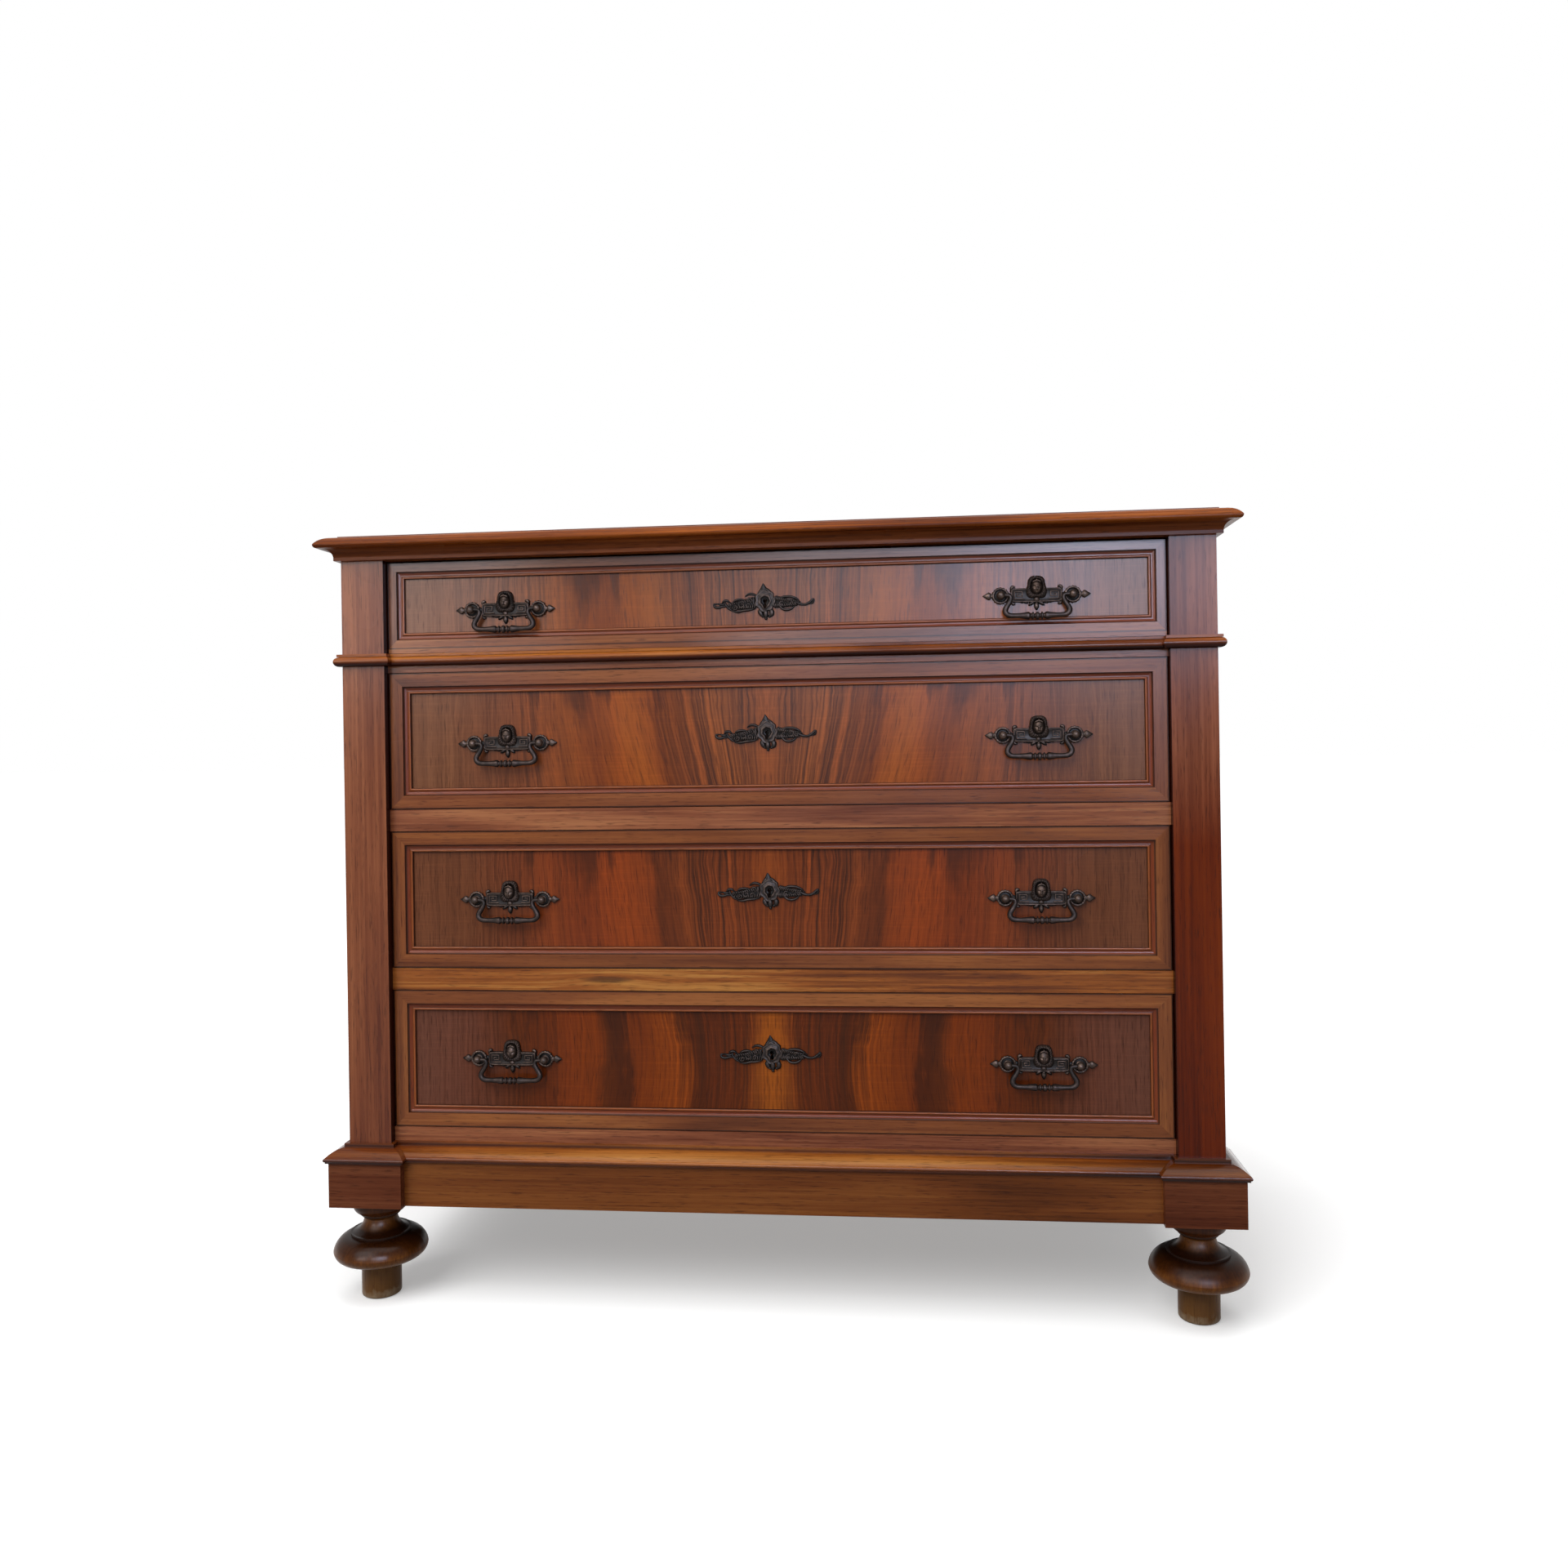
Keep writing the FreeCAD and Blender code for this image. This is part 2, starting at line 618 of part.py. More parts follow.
def make_feet():
    for name, place in (("front_feet", FRONT_FOOT), ("rear_feet", REAR_FOOT)):
        pair = []
        for hand, sign in (("left", "-"), ("right", "")):
            foot = turned(f"{hand}_{name}", "XZ_Plane", foot_outline(), "V_Axis")
            pair.append(move(foot, f"{sign}{place[0]}", place[1]))
        node(group(name, pair), name)


def foot_outline():
    """Half of the foot: radii as shares of the bun's, levels as shares of the foot's height."""
    radius = {part: f"bun_radius * {share}" for part, share in FOOT_RADIUS_SHARES.items()}
    level = {part: f"foot_height * {share}" for part, share in FOOT_LEVEL_SHARES.items()}
    peg_top = "foot_height + spigot_length"
    return [
        ("0", "0"),
        ("foot_tip_radius - foot_tip_round", "0", "round_bulge_share"),
        ("foot_tip_radius", "foot_tip_round"),
        ("foot_tip_radius", level["tip_share"]),
        (radius["shoulder_share"], level["shoulder_share"], "bun_low_bulge_share"),
        ("bun_radius", level["bun_share"], "bun_high_bulge_share"),
        (radius["ring_share"], level["bun_top_share"]),
        (radius["ring_share"], level["ring_top_share"]),
        (radius["hollow_share"], level["ring_top_share"], "hollow_bulge_share"),
        (radius["neck_share"], level["neck_share"]),
        (radius["fillet_share"], level["fillet_share"]),
        (radius["fillet_share"], level["fillet_top_share"], "ovolo_bulge_share"),
        (radius["cap_share"], level["cap_share"]),
        (radius["cap_share"], "foot_height"),
        ("spigot_radius", "foot_height"),
        ("spigot_radius", peg_top),
        ("0", peg_top),
    ]


def spigot_hole(name, hand, x, y):
    side = "-" if hand == "left" else ""
    depth = "spigot_length + spigot_clearance + overrun"
    return rod(name, "spigot_radius + spigot_clearance", depth, (0, 0, 1), side + x, y, "foot_height - overrun")


# Drawer frames: four moulded strips, mitred at the corners and glued round each front
def frame_strip(name, length, flat):
    """A strip with its face at y = 0 and its outer edge at z = 0; both ends are mitred inwards."""
    width = f"({flat} + frame_moulding)"
    bead_start = f"-({width} - frame_bead)"
    section = [
        ("0", "0"),
        ("0", f"-{flat}"),
        ("frame_quirk", f"-{flat}", "frame_hollow_bulge_share"),
        ("frame_thickness - frame_bead_height", bead_start, "frame_bead_bulge_share"),
        ("frame_thickness - frame_bead_height / 2", f"-{width}"),
        ("frame_thickness", f"-{width}"),
        ("frame_thickness", "0"),
    ]
    strip = bar(name, "YZ_Plane", [section], length)
    doc.recompute()
    mitre = strip.newObject("PartDesign::Pocket", f"{name}_mitres")
    end = f"({length}) / 2 + overrun"
    low = f"-{width} - overrun"
    right = [(end, "overrun"), (f"({length}) / 2 - {width} - overrun", low), (end, low)]
    left = [(f"-({end})", low), (f"-(({length}) / 2 - {width} - overrun)", low), (f"-({end})", "overrun")]
    mitre.Profile = draw(strip, f"{name}_mitre_lines", "XZ_Plane", [right, left])
    mitre.SideType = "Symmetric"
    bind(mitre, "Length", "4 * frame_thickness")
    return strip


def make_frame(word, low, high, flat, strips):
    """Set the four strips round a front; the frieze drawer has a plain sill below its frame."""
    sill = "shallow_frame_sill" if word == "one" else "0"
    middle = f"({high} + {low} + {sill}) / 2"
    pieces = [
        placed(f"frame_{word}_top", strips["across"], "0", RAIL_FACE, high),
        placed(f"frame_{word}_bottom", strips["across"], "0", RAIL_FACE, f"{low} + {sill}", 180),
        placed(f"frame_{word}_left", strips["upright"], f"-{DRAWER_EDGE}", RAIL_FACE, middle, -90),
        placed(f"frame_{word}_right", strips["upright"], DRAWER_EDGE, RAIL_FACE, middle, 90),
    ]
    if word == "one":
        pieces.append(board("frame_one_sill", (f"-{DRAWER_EDGE}", DRAWER_EDGE), (RAIL_FACE, PANEL_FACE),
                            (low, f"{low} + {sill}")))
    node(group(f"drawer_{word}_frame", pieces), f"drawer_{word}_frame")


# Handles: a cast plate with a masked head, ringed ends and two ball posts that carry a bail
def make_plate():
    """One plate at the origin: its back at y = 0, the bail's axis along X through the ball middles."""
    ring = "post_spacing / 2"
    near_share, edge_share = 0.96, 0.28
    tip = f"{ring} + ring_radius + finial_length"
    leaf = f"{ring} + ring_radius + finial_length / 3"
    half = [
        ("0", "-pendant_drop"),
        ("pendant_width / 2", "-plate_bar_height / 2"),
        ("plate_bar_length / 2", "-plate_bar_height / 2"),
        ("plate_bar_length / 2", "-plate_neck_height / 2"),
        (f"{ring} - ring_radius * {near_share}", f"-ring_radius * {edge_share}", "ring_bulge_share"),
        (f"{ring} + ring_radius * {near_share}", f"-ring_radius * {edge_share}"),
        (leaf, "-finial_width / 2"),
        (tip, "0"),
        (leaf, "finial_width / 2"),
        (f"{ring} + ring_radius * {near_share}", f"ring_radius * {edge_share}", "ring_bulge_share"),
        (f"{ring} - ring_radius * {near_share}", f"ring_radius * {edge_share}"),
        ("plate_bar_length / 2", "plate_neck_height / 2"),
        ("plate_bar_length / 2", "plate_bar_height / 2"),
        ("0", "plate_bar_height / 2"),
    ]
    sheet_metal = bar("plate_blank", "XZ_Plane", [mirror_outline(half)], "plate_thickness")
    move(sheet_metal, y="-plate_thickness / 2")
    pieces = [sheet_metal]
    for part in ("hood", "face"):
        head = doc.addObject("Part::Ellipsoid", f"plate_{part}")
        bind(head, "Radius1", f"{part}_height / 2")
        bind(head, "Radius2", f"{part}_width / 2")
        bind(head, "Radius3", f"{part}_depth")
        head.Angle3 = 180
        head.Placement = FreeCAD.Placement(FreeCAD.Vector(), FreeCAD.Rotation(FreeCAD.Vector(0, 0, 1), 180))
        pieces.append(move(head, z="head_rise"))
    holes = []
    for hand, side in (("left", "-"), ("right", "")):
        x = f"{side}post_spacing / 2"
        pieces.append(rod(f"{hand}_post", "post_radius", "ball_reach", (0, -1, 0), x, "0", "0"))
        ball = doc.addObject("Part::Sphere", f"{hand}_ball")
        bind(ball, "Radius", "ball_radius")
        pieces.append(move(ball, x, "-ball_reach"))
        pieces.append(rod(f"{hand}_stud", "stud_radius", "front_thickness + nut_thickness", (0, 1, 0), x, "0", "0"))
        hole = rod(f"{hand}_pin_hole", "bail_pin_radius + bail_pin_clearance", "2 * ball_radius",
                   (1, 0, 0), f"{x} - ball_radius", "-ball_reach", "0")
        holes.append(hole)
    return cut("handle_plate", joined("plate_casting", pieces), holes)


def make_nut():
    """A hexagon nut round the origin, with its seat at y = 0."""
    blank = doc.addObject("Part::Prism", "nut_blank")
    bind(blank, "Circumradius", "nut_radius")
    bind(blank, "Height", "nut_thickness")
    back = FreeCAD.Rotation(FreeCAD.Vector(0, 0, 1), FreeCAD.Vector(0, 1, 0))
    blank.Placement = FreeCAD.Placement(FreeCAD.Vector(), back)
    bore = rod("nut_bore", "stud_radius + nut_clearance", "nut_thickness + 2 * overrun", (0, 1, 0), "0", "-overrun", "0")
    return cut("stud_nut", blank, [bore])


def make_bail():
    """One bail at the origin, hanging from its hinge axis along X: a bent rod with pins at its ends
    and a turned baluster at the middle of its grip."""
    lean = "(bail_corner - bail_shoulder)"
    leg = f"sqrt({lean} ^ 2 + bail_drop ^ 2)"
    bend = f"tan(acos(-{lean} / {leg}) / 4)"
    start = "(post_spacing / 2 - ball_radius - bail_end_gap)"
    right = [
        (start, "0"),
        ("bail_shoulder + bail_shoulder_reach", "0", bend),
        (f"bail_shoulder + bail_shoulder_reach * {lean} / {leg}", f"-bail_shoulder_reach * bail_drop / {leg}"),
        (f"bail_corner - bail_corner_reach * {lean} / {leg}", f"-bail_drop + bail_corner_reach * bail_drop / {leg}",
         f"-{bend}"),
        ("bail_corner - bail_corner_reach", "-bail_drop"),
    ]
    bows = [point[2:] for point in right[-2::-1]] + [()]
    left = [(f"-({point[0]})", point[1], *bow) for point, bow in zip(right[::-1], bows)]
    body = doc.addObject("PartDesign::Body", "bail_rod")
    path = draw(body, "bail_path", "XZ_Plane", [right + left], closed=False)
    ring = body.newObject("Sketcher::SketchObject", "bail_section")
    ring.AttachmentSupport = [(next(item for item in body.Origin.OriginFeatures if item.Role == "YZ_Plane"), "")]
    ring.MapMode = "FlatFace"
    bind(ring, "AttachmentOffset.Base.z", start)
    ring.addGeometry(Part.Circle(FreeCAD.Vector(), FreeCAD.Vector(0, 0, 1), worth("bail_rod_radius")), False)
    ring.addConstraint(Sketcher.Constraint("Coincident", 0, 3, -1, 1))
    tie(ring, "RodRadius", Sketcher.Constraint("Radius", 0, worth("bail_rod_radius")), "bail_rod_radius")
    doc.recompute()
    pipe = body.newObject("PartDesign::AdditivePipe", "bail_pipe")
    pipe.Profile = ring
    pipe.Spine = (path, [f"Edge{number + 1}" for number in range(path.GeometryCount)])
    pieces = [body, make_baluster()]
    for hand, side, way in (("left", "-", 1), ("right", "", -1)):
        far = f"{side}(post_spacing / 2 + ball_radius / 2)"
        pieces.append(rod(f"{hand}_bail_pin", "bail_pin_radius", "2 * ball_radius", (way, 0, 0), far, "0", "0"))
    return joined("bail", pieces)


def make_baluster():
    """The grip's turning: a bead at the middle between two long swellings."""
    middle_share, waist_share, swell_share = 0.09, 0.16, 0.3
    half_length = "baluster_length / 2"
    thin = "bail_rod_radius * 0.8"
    right = [
        (f"baluster_length * {middle_share}", "baluster_radius"),
        (f"baluster_length * {waist_share}", thin),
        (f"baluster_length * {swell_share}", "(baluster_radius + bail_rod_radius) / 2"),
        (half_length, thin),
        (half_length, "0"),
    ]
    left = [(f"-({point[0]})", point[1]) for point in right[::-1]]
    baluster = turned("bail_baluster", "XZ_Plane", left + right, "H_Axis")
    return move(baluster, z="-bail_drop")


# Escutcheons: a cast scroll plate round each keyhole
ESCUTCHEON_SHARES = ((0, -1), (0.1, -0.72), (0.18, -0.32), (0.36, -0.5), (0.56, -0.44), (0.68, -0.06), (0.93, -0.16),
                     (1, 0.02), (0.92, 0.14), (0.66, 0.2), (0.5, 0.4), (0.26, 0.26), (0.16, 0.55), (0, 1))


def make_escutcheon():
    half = [(f"escutcheon_width / 2 * {x}", f"escutcheon_height / 2 * {z}") for x, z in ESCUTCHEON_SHARES]
    blank = bar("escutcheon_blank", "XZ_Plane", [mirror_outline(half)], "escutcheon_thickness")
    return move(blank, y="-escutcheon_thickness / 2")


def make_keyhole():
    """The keyhole's round and slot, as a cutter that reaches from the escutcheon through the lock."""
    reach = "escutcheon_thickness + front_thickness + lock_depth + 2 * overrun"
    start = "-escutcheon_thickness - overrun"
    around = rod("keyhole_round", "keyhole_radius", reach, (0, 1, 0), "0", start, "0")
    slot = board("keyhole_slot", ("-keyhole_slot_width / 2", "keyhole_slot_width / 2"), (start, f"{start} + {reach}"),
                 ("-keyhole_slot_drop", "0"))
    return joined("keyhole", [around, slot])


# Drawers: a panelled front with its frame, handles and lock, and a box of two sides, a back and a bottom
def make_drawer(word, opening, kind, masters):
    name = f"drawer_{word}"
    low = f"({opening} + front_bottom_gap)"
    high = f"({opening} + {kind}_opening - {kind}_top_gap)"
    middle = f"(({low} + {high}) / 2)"
    side_low = f"({opening} + running_clearance)"
    side_high = f"({high} - drawer_side_drop)"
    axis = f"({middle} - {name}_handle_drop)"
    key = f"({middle} + {name}_key_rise)"
    bottom_low = f"({side_low} + drawer_bottom_rise)"
    bottom_high = f"({bottom_low} + drawer_bottom_thickness)"
    groove = (f"{bottom_low} - groove_clearance", f"{bottom_high} + groove_clearance")
    groove_edge = f"({DRAWER_INNER} + groove_depth)"
    keyhole = placed(f"{name}_keyhole", masters["keyhole"], "0", PANEL_FACE, key)

    holes = [keyhole, board(f"{name}_front_groove", (f"-{groove_edge}", groove_edge),
                            (f"{FRONT_BACK} - groove_depth", f"{FRONT_BACK} + overrun"), groove)]
    plates = []
    for hand, side in (("left", "-"), ("right", "")):
        plates.append(placed(f"{name}_{hand}_plate", masters["plate"], f"{side}{HANDLE}", PANEL_FACE, axis))
        for number, post in enumerate(("-", "+")):
            x = f"{side}{HANDLE} {post} post_spacing / 2"
            holes.append(rod(f"{name}_{hand}_stud_hole_{number}", "stud_radius + stud_clearance",
                             "front_thickness + 2 * overrun", (0, 1, 0), x, f"{PANEL_FACE} - overrun", axis))
            plates.append(placed(f"{name}_{hand}_nut_{number}", masters["nut"], x, FRONT_BACK, axis))
    blank = board(f"{name}_front_blank", (f"-{DRAWER_EDGE}", DRAWER_EDGE), (PANEL_FACE, FRONT_BACK), (low, high))
    node(cut(f"{name}_front", blank, holes), f"{name}_front")
    make_frame(word, low, high, f"{kind}_frame_flat", masters[f"{kind}_strips"])

    walls = []
    for hand, x in both_sides(DRAWER_INNER, DRAWER_EDGE):
        wall = board(f"{name}_{hand}_blank", x, (FRONT_BACK, DRAWER_REAR), (side_low, side_high))
        slot = board(f"{name}_{hand}_groove", (f"-{groove_edge}", groove_edge),
                     (f"{FRONT_BACK} - overrun", f"{DRAWER_REAR} + overrun"), groove)
        walls.append(cut(f"{name}_{hand}", wall, [slot]))
    walls.append(board(f"{name}_back", (f"-{DRAWER_INNER}", DRAWER_INNER),
                       (f"{DRAWER_REAR} - drawer_back_thickness", DRAWER_REAR), (bottom_high, side_high)))
    node(group(f"{name}_box", walls), f"{name}_box")
    panel_edge = f"({groove_edge} - groove_clearance)"
    panel = board(f"{name}_bottom", (f"-{panel_edge}", panel_edge),
                  (f"{FRONT_BACK} - groove_depth + groove_clearance", DRAWER_REAR), (bottom_low, bottom_high))
    node(panel, f"{name}_bottom")

    node(group(f"{name}_handle_plates", plates), f"{name}_handle_plates")
    for hand, side in (("left", "-"), ("right", "")):
        bail = placed(f"{name}_bail_{hand}", masters["bail"], f"{side}{HANDLE}", HINGE, axis)
        node(bail, f"{name}_bail_{hand}")
    shield = placed(f"{name}_shield", masters["escutcheon"], "0", PANEL_FACE, key)
    node(cut(f"{name}_escutcheon", shield, [keyhole]), f"{name}_escutcheon")
    make_lock(name, key, high, keyhole)


def make_lock(name, key, high, keyhole):
    """A lock case behind the keyhole and a long bolt that runs up through a staple to the top edge."""
    half = "(bolt_width / 2)"
    bolt_low = f"({key} - bolt_foot)"
    bolt_near = f"({FRONT_BACK} + bolt_inset)"
    bolt_far = f"({bolt_near} + bolt_thickness)"
    wide = f"({half} + bolt_clearance)"
    depth = (FRONT_BACK, f"{FRONT_BACK} + lock_depth")
    channel = board(f"{name}_bolt_channel", (f"-{wide}", wide),
                    (f"{bolt_near} - bolt_clearance", f"{bolt_far} + bolt_clearance"),
                    (f"{bolt_low} - bolt_clearance", f"{high} + overrun"))
    case = board(f"{name}_lock_blank", ("-lock_width / 2", "lock_width / 2"), depth,
                 (f"{key} - lock_below_key", f"{key} + lock_above_key"))
    staple = board(f"{name}_staple_blank", ("-staple_width / 2", "staple_width / 2"), depth,
                   (f"{high} - staple_drop - staple_height", f"{high} - staple_drop"))
    hollow = joined(f"{name}_lock_hollow", [channel, keyhole])
    lock = [cut(f"{name}_lock_case", case, [hollow]), cut(f"{name}_staple", staple, [channel])]
    node(group(f"{name}_lock", lock), f"{name}_lock")
    bolt = board(f"{name}_lock_bolt", (f"-{half}", half), (bolt_near, bolt_far), (bolt_low, high))
    node(bolt, f"{name}_lock_bolt")


make_top()
make_cornice()
make_case()
make_rails_and_runners()
make_waist_moulding()
make_plinth()
make_feet()
drawer_parts = {
    "plate": make_plate(),
    "nut": make_nut(),
    "bail": make_bail(),
    "escutcheon": make_escutcheon(),
    "keyhole": make_keyhole(),
}
for drawer_kind, sill_height in (("deep", "0"), ("shallow", "shallow_frame_sill")):
    front_height = f"({drawer_kind}_opening - {drawer_kind}_top_gap - front_bottom_gap - {sill_height})"
    drawer_parts[f"{drawer_kind}_strips"] = {
        "across": frame_strip(f"{drawer_kind}_strip_across", f"2 * {DRAWER_EDGE}", f"{drawer_kind}_frame_flat"),
        "upright": frame_strip(f"{drawer_kind}_strip_upright", front_height, f"{drawer_kind}_frame_flat"),
    }
for drawer_word, drawer_opening, drawer_kind in DRAWERS:
    make_drawer(drawer_word, drawer_opening, drawer_kind, drawer_parts)
doc.recompute()

# Every piece has to be sound before anything is written
failed = [item.Label for item in doc.Objects if "Invalid" in item.State or "Error" in item.State]
unsound = [piece.Label for piece in nodes if piece.Shape.isNull() or not piece.Shape.isValid()]
if failed or unsound:
    raise RuntimeError(f"failed: {failed}, unsound: {unsound}")
os.makedirs("parts", exist_ok=True)
for piece in nodes:
    piece.Shape.exportStep(f"parts/{piece.Label}.step")
print(len(nodes), "nodes", sum(len(piece.Shape.Solids) for piece in nodes), "solids")
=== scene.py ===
# A polished walnut chest of drawers: a frieze drawer over three deep ones between corner pilasters, on
# a plinth with turned bun feet, with dark cast handles and keyhole plates. Metres; the front faces -Y.
import json
import bmesh
import bpy
import numpy as np
from mathutils import Matrix, Vector


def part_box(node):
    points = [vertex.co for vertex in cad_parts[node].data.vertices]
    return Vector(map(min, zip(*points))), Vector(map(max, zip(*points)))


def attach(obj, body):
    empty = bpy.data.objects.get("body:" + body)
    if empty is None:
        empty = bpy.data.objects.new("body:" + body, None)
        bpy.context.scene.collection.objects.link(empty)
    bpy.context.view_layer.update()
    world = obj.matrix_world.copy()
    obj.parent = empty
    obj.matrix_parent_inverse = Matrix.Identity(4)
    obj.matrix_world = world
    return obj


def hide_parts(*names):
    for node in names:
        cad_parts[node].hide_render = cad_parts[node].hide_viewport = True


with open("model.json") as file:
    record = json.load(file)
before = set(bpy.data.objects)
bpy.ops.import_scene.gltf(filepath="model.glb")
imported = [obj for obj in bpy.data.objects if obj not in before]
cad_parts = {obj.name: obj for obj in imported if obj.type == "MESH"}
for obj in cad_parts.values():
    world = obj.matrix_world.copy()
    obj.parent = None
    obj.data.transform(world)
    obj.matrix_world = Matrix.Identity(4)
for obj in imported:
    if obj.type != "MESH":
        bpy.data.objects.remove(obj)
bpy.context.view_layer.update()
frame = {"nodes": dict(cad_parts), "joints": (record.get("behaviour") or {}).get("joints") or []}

# Pilasters and sides
# Walnut boards with upright grain, sawn, planed and French polished by hand; the pilasters stand proud
# of the sides and are glued to their front edges.
solid = frame["nodes"]


def linear(colour):
    """An sRGB hex colour as linear red, green and blue with an alpha of one."""
    part = np.array([int(colour[at:at + 2], 16) for at in (1, 3, 5)]) / 255
    return (*np.where(part <= 0.04045, part / 12.92, ((part + 0.055) / 1.055) ** 2.4).tolist(), 1.0)


def add(tree, kind, inputs=(), stops=(), **settings):
    """Add one shader node with its settings; inputs holds a value or a feeding socket for each socket."""
    made = tree.nodes.new("ShaderNode" + kind)
    for name, value in settings.items():
        setattr(made, name, value)
    for socket, value in dict(inputs).items():
        if isinstance(value, bpy.types.NodeSocket):
            tree.links.new(value, made.inputs[socket])
        else:
            made.inputs[socket].default_value = value
    for place, (position, colour) in enumerate(stops):
        step = made.color_ramp.elements[place] if place < 2 else made.color_ramp.elements.new(position)
        step.position = position
        step.color = linear(colour)
    return made.outputs


def blank_material(name):
    """A new material with an empty node tree."""
    material = bpy.data.materials.new(name)
    material.use_nodes = True
    material.node_tree.nodes.clear()
    return material, material.node_tree


def grain_lines(tree, along):
    """Object coordinates in metres, put in an order that leaves the grain on the third axis."""
    x, y, z = add(tree, "SeparateXYZ", {0: add(tree, "TexCoord")["Object"]})
    order = {"X": (y, z, x), "Y": (x, z, y), "Z": (x, y, z)}[along]
    return add(tree, "CombineXYZ", dict(enumerate(order)))[0]


def figure(tree, lines, across, along, shift, detail=3.0, distortion=0.0):
    """Noise drawn out along the grain: one blot is across wide and along long, in metres."""
    spread = add(tree, "Mapping", {"Vector": lines, "Location": (shift, shift * 1.7, shift * 0.6),
                                   "Scale": (1 / across, 1 / across, 1 / along)})[0]
    return add(tree, "TexNoise", {"Vector": spread, "Scale": 1.0, "Detail": detail, "Roughness": 0.55,
                                  "Distortion": distortion})[0]


def finish_wood(tree, colour, lines, shift, gloss, shine):
    """French polish over open pores: the pores darken the wood and dent the film, and hand rubbing
    leaves cloudy patches of gloss. Pores are drawn 1.4 mm wide, or they would not show."""
    pores = figure(tree, lines, 0.0014, 0.024, shift, 2.0)
    pits = add(tree, "MapRange", {"Value": pores, "From Min": 0.56, "From Max": 0.70, "To Max": 0.55})[0]
    stained = add(tree, "Mix", {0: pits, 6: colour, 7: linear("#2a120a")}, data_type="RGBA")[2]
    rubbed = figure(tree, lines, 0.16, 0.3, shift + 5.0, 2.0)
    rough = add(tree, "MapRange", {"Value": rubbed, "From Min": 0.35, "From Max": 0.65,
                                   "To Min": gloss[0], "To Max": gloss[1]})[0]
    dents = add(tree, "Bump", {"Strength": 0.12, "Distance": 0.0003, "Height": pits}, invert=True)[0]
    film = add(tree, "BsdfPrincipled", {"Base Color": stained, "Roughness": rough, "Normal": dents,
                                        "Specular IOR Level": shine})[0]
    add(tree, "OutputMaterial", {0: film})


def walnut(name, along, shift, tones=("#4b220f", "#6d3619", "#8a4b25"), gloss=(0.2, 0.3), shine=0.1,
           lines=None, grime_and_shade=()):
    """Plain sawn walnut: broad cloudy tones, 4 mm growth streaks and fine pores along the grain. Gloss is
    the least and greatest roughness of the polish, and shine its specular level. Each layer of painted shade
    or tint is a piece, an axis and the tints that multiply the colour from the piece's low end to its high
    end."""
    material, tree = blank_material(name)
    lines = grain_lines(tree, along) if lines is None else lines(tree)
    broad = figure(tree, lines, 0.06, 0.7, shift, 3.0, 0.6)
    streaks = figure(tree, lines, 0.004, 0.3, shift + 2.0, 4.0, 0.3)
    tone = add(tree, "Mix", {0: 0.36, 2: broad, 3: streaks})[0]
    colour = add(tree, "ValToRGB", {0: tone}, zip((0.38, 0.5, 0.62), tones))[0]
    # Layers of painted shade and tint multiply the colour along one axis of a piece.
    for piece, way, tints in grime_and_shade:
        axis = "XYZ".index(way)
        low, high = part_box(piece)
        place = add(tree, "SeparateXYZ", {0: add(tree, "TexCoord")["Object"]})[axis]
        share = add(tree, "MapRange", {"Value": place, "From Min": low[axis], "From Max": high[axis]})[0]
        shade_tint = add(tree, "ValToRGB", {0: share}, tints)[0]
        colour = add(tree, "Mix", {0: 1.0, 6: colour, 7: shade_tint}, data_type="RGBA", blend_type="MULTIPLY")[2]
    finish_wood(tree, colour, lines, shift, gloss, shine)
    return material


def dress(material, *names):
    """Give CAD pieces their finish."""
    for name in names:
        for place in solid[name].material_slots:
            place.material = material


# Painted shade darkens the pilasters' inner edges beside the drawers, and the lower half of the right
# pilaster is tinted darker and redder.
left_edge_shade = [("left_pilaster", "X", [(0.988, "#ffffff"), (0.998, "#6e4e40")])]
right_shade_and_tint = [("right_pilaster", "Z", [(0.0, "#bb7c28"), (0.5, "#c88c36"), (0.66, "#ffffff")]),
               ("right_pilaster", "X", [(0.002, "#6e4e40"), (0.012, "#ffffff")])]
dress(walnut("polished_walnut_left_pilaster", "Z", 0.3, ("#56291a", "#743f27", "#8d5436"), grime_and_shade=left_edge_shade),
      "left_pilaster")
dress(walnut("polished_walnut_right_pilaster", "Z", 4.1, ("#5c2d1c", "#7c442c", "#92573d"), (0.14, 0.22),
             0.06, grime_and_shade=right_shade_and_tint), "right_pilaster")
dress(walnut("polished_walnut_sides", "Z", 9.2), "left_side", "right_side")

# Top and cornice
# A walnut panel with a thumb-moulded edge on a coved frame; the grain runs along each length, and the
# cove below is a stuck moulding glued to the frame.
dress(walnut("polished_walnut_top", "X", 2.2, ("#58270a", "#804112", "#9e5a20"), shine=0.03), "top_board")
dress(walnut("polished_walnut_cove", "X", 6.4, ("#552812", "#783f1d", "#94552c"), shine=0.03),
      "cornice_front")
dress(walnut("polished_walnut_side_cove", "Y", 6.9), "cornice_frame")


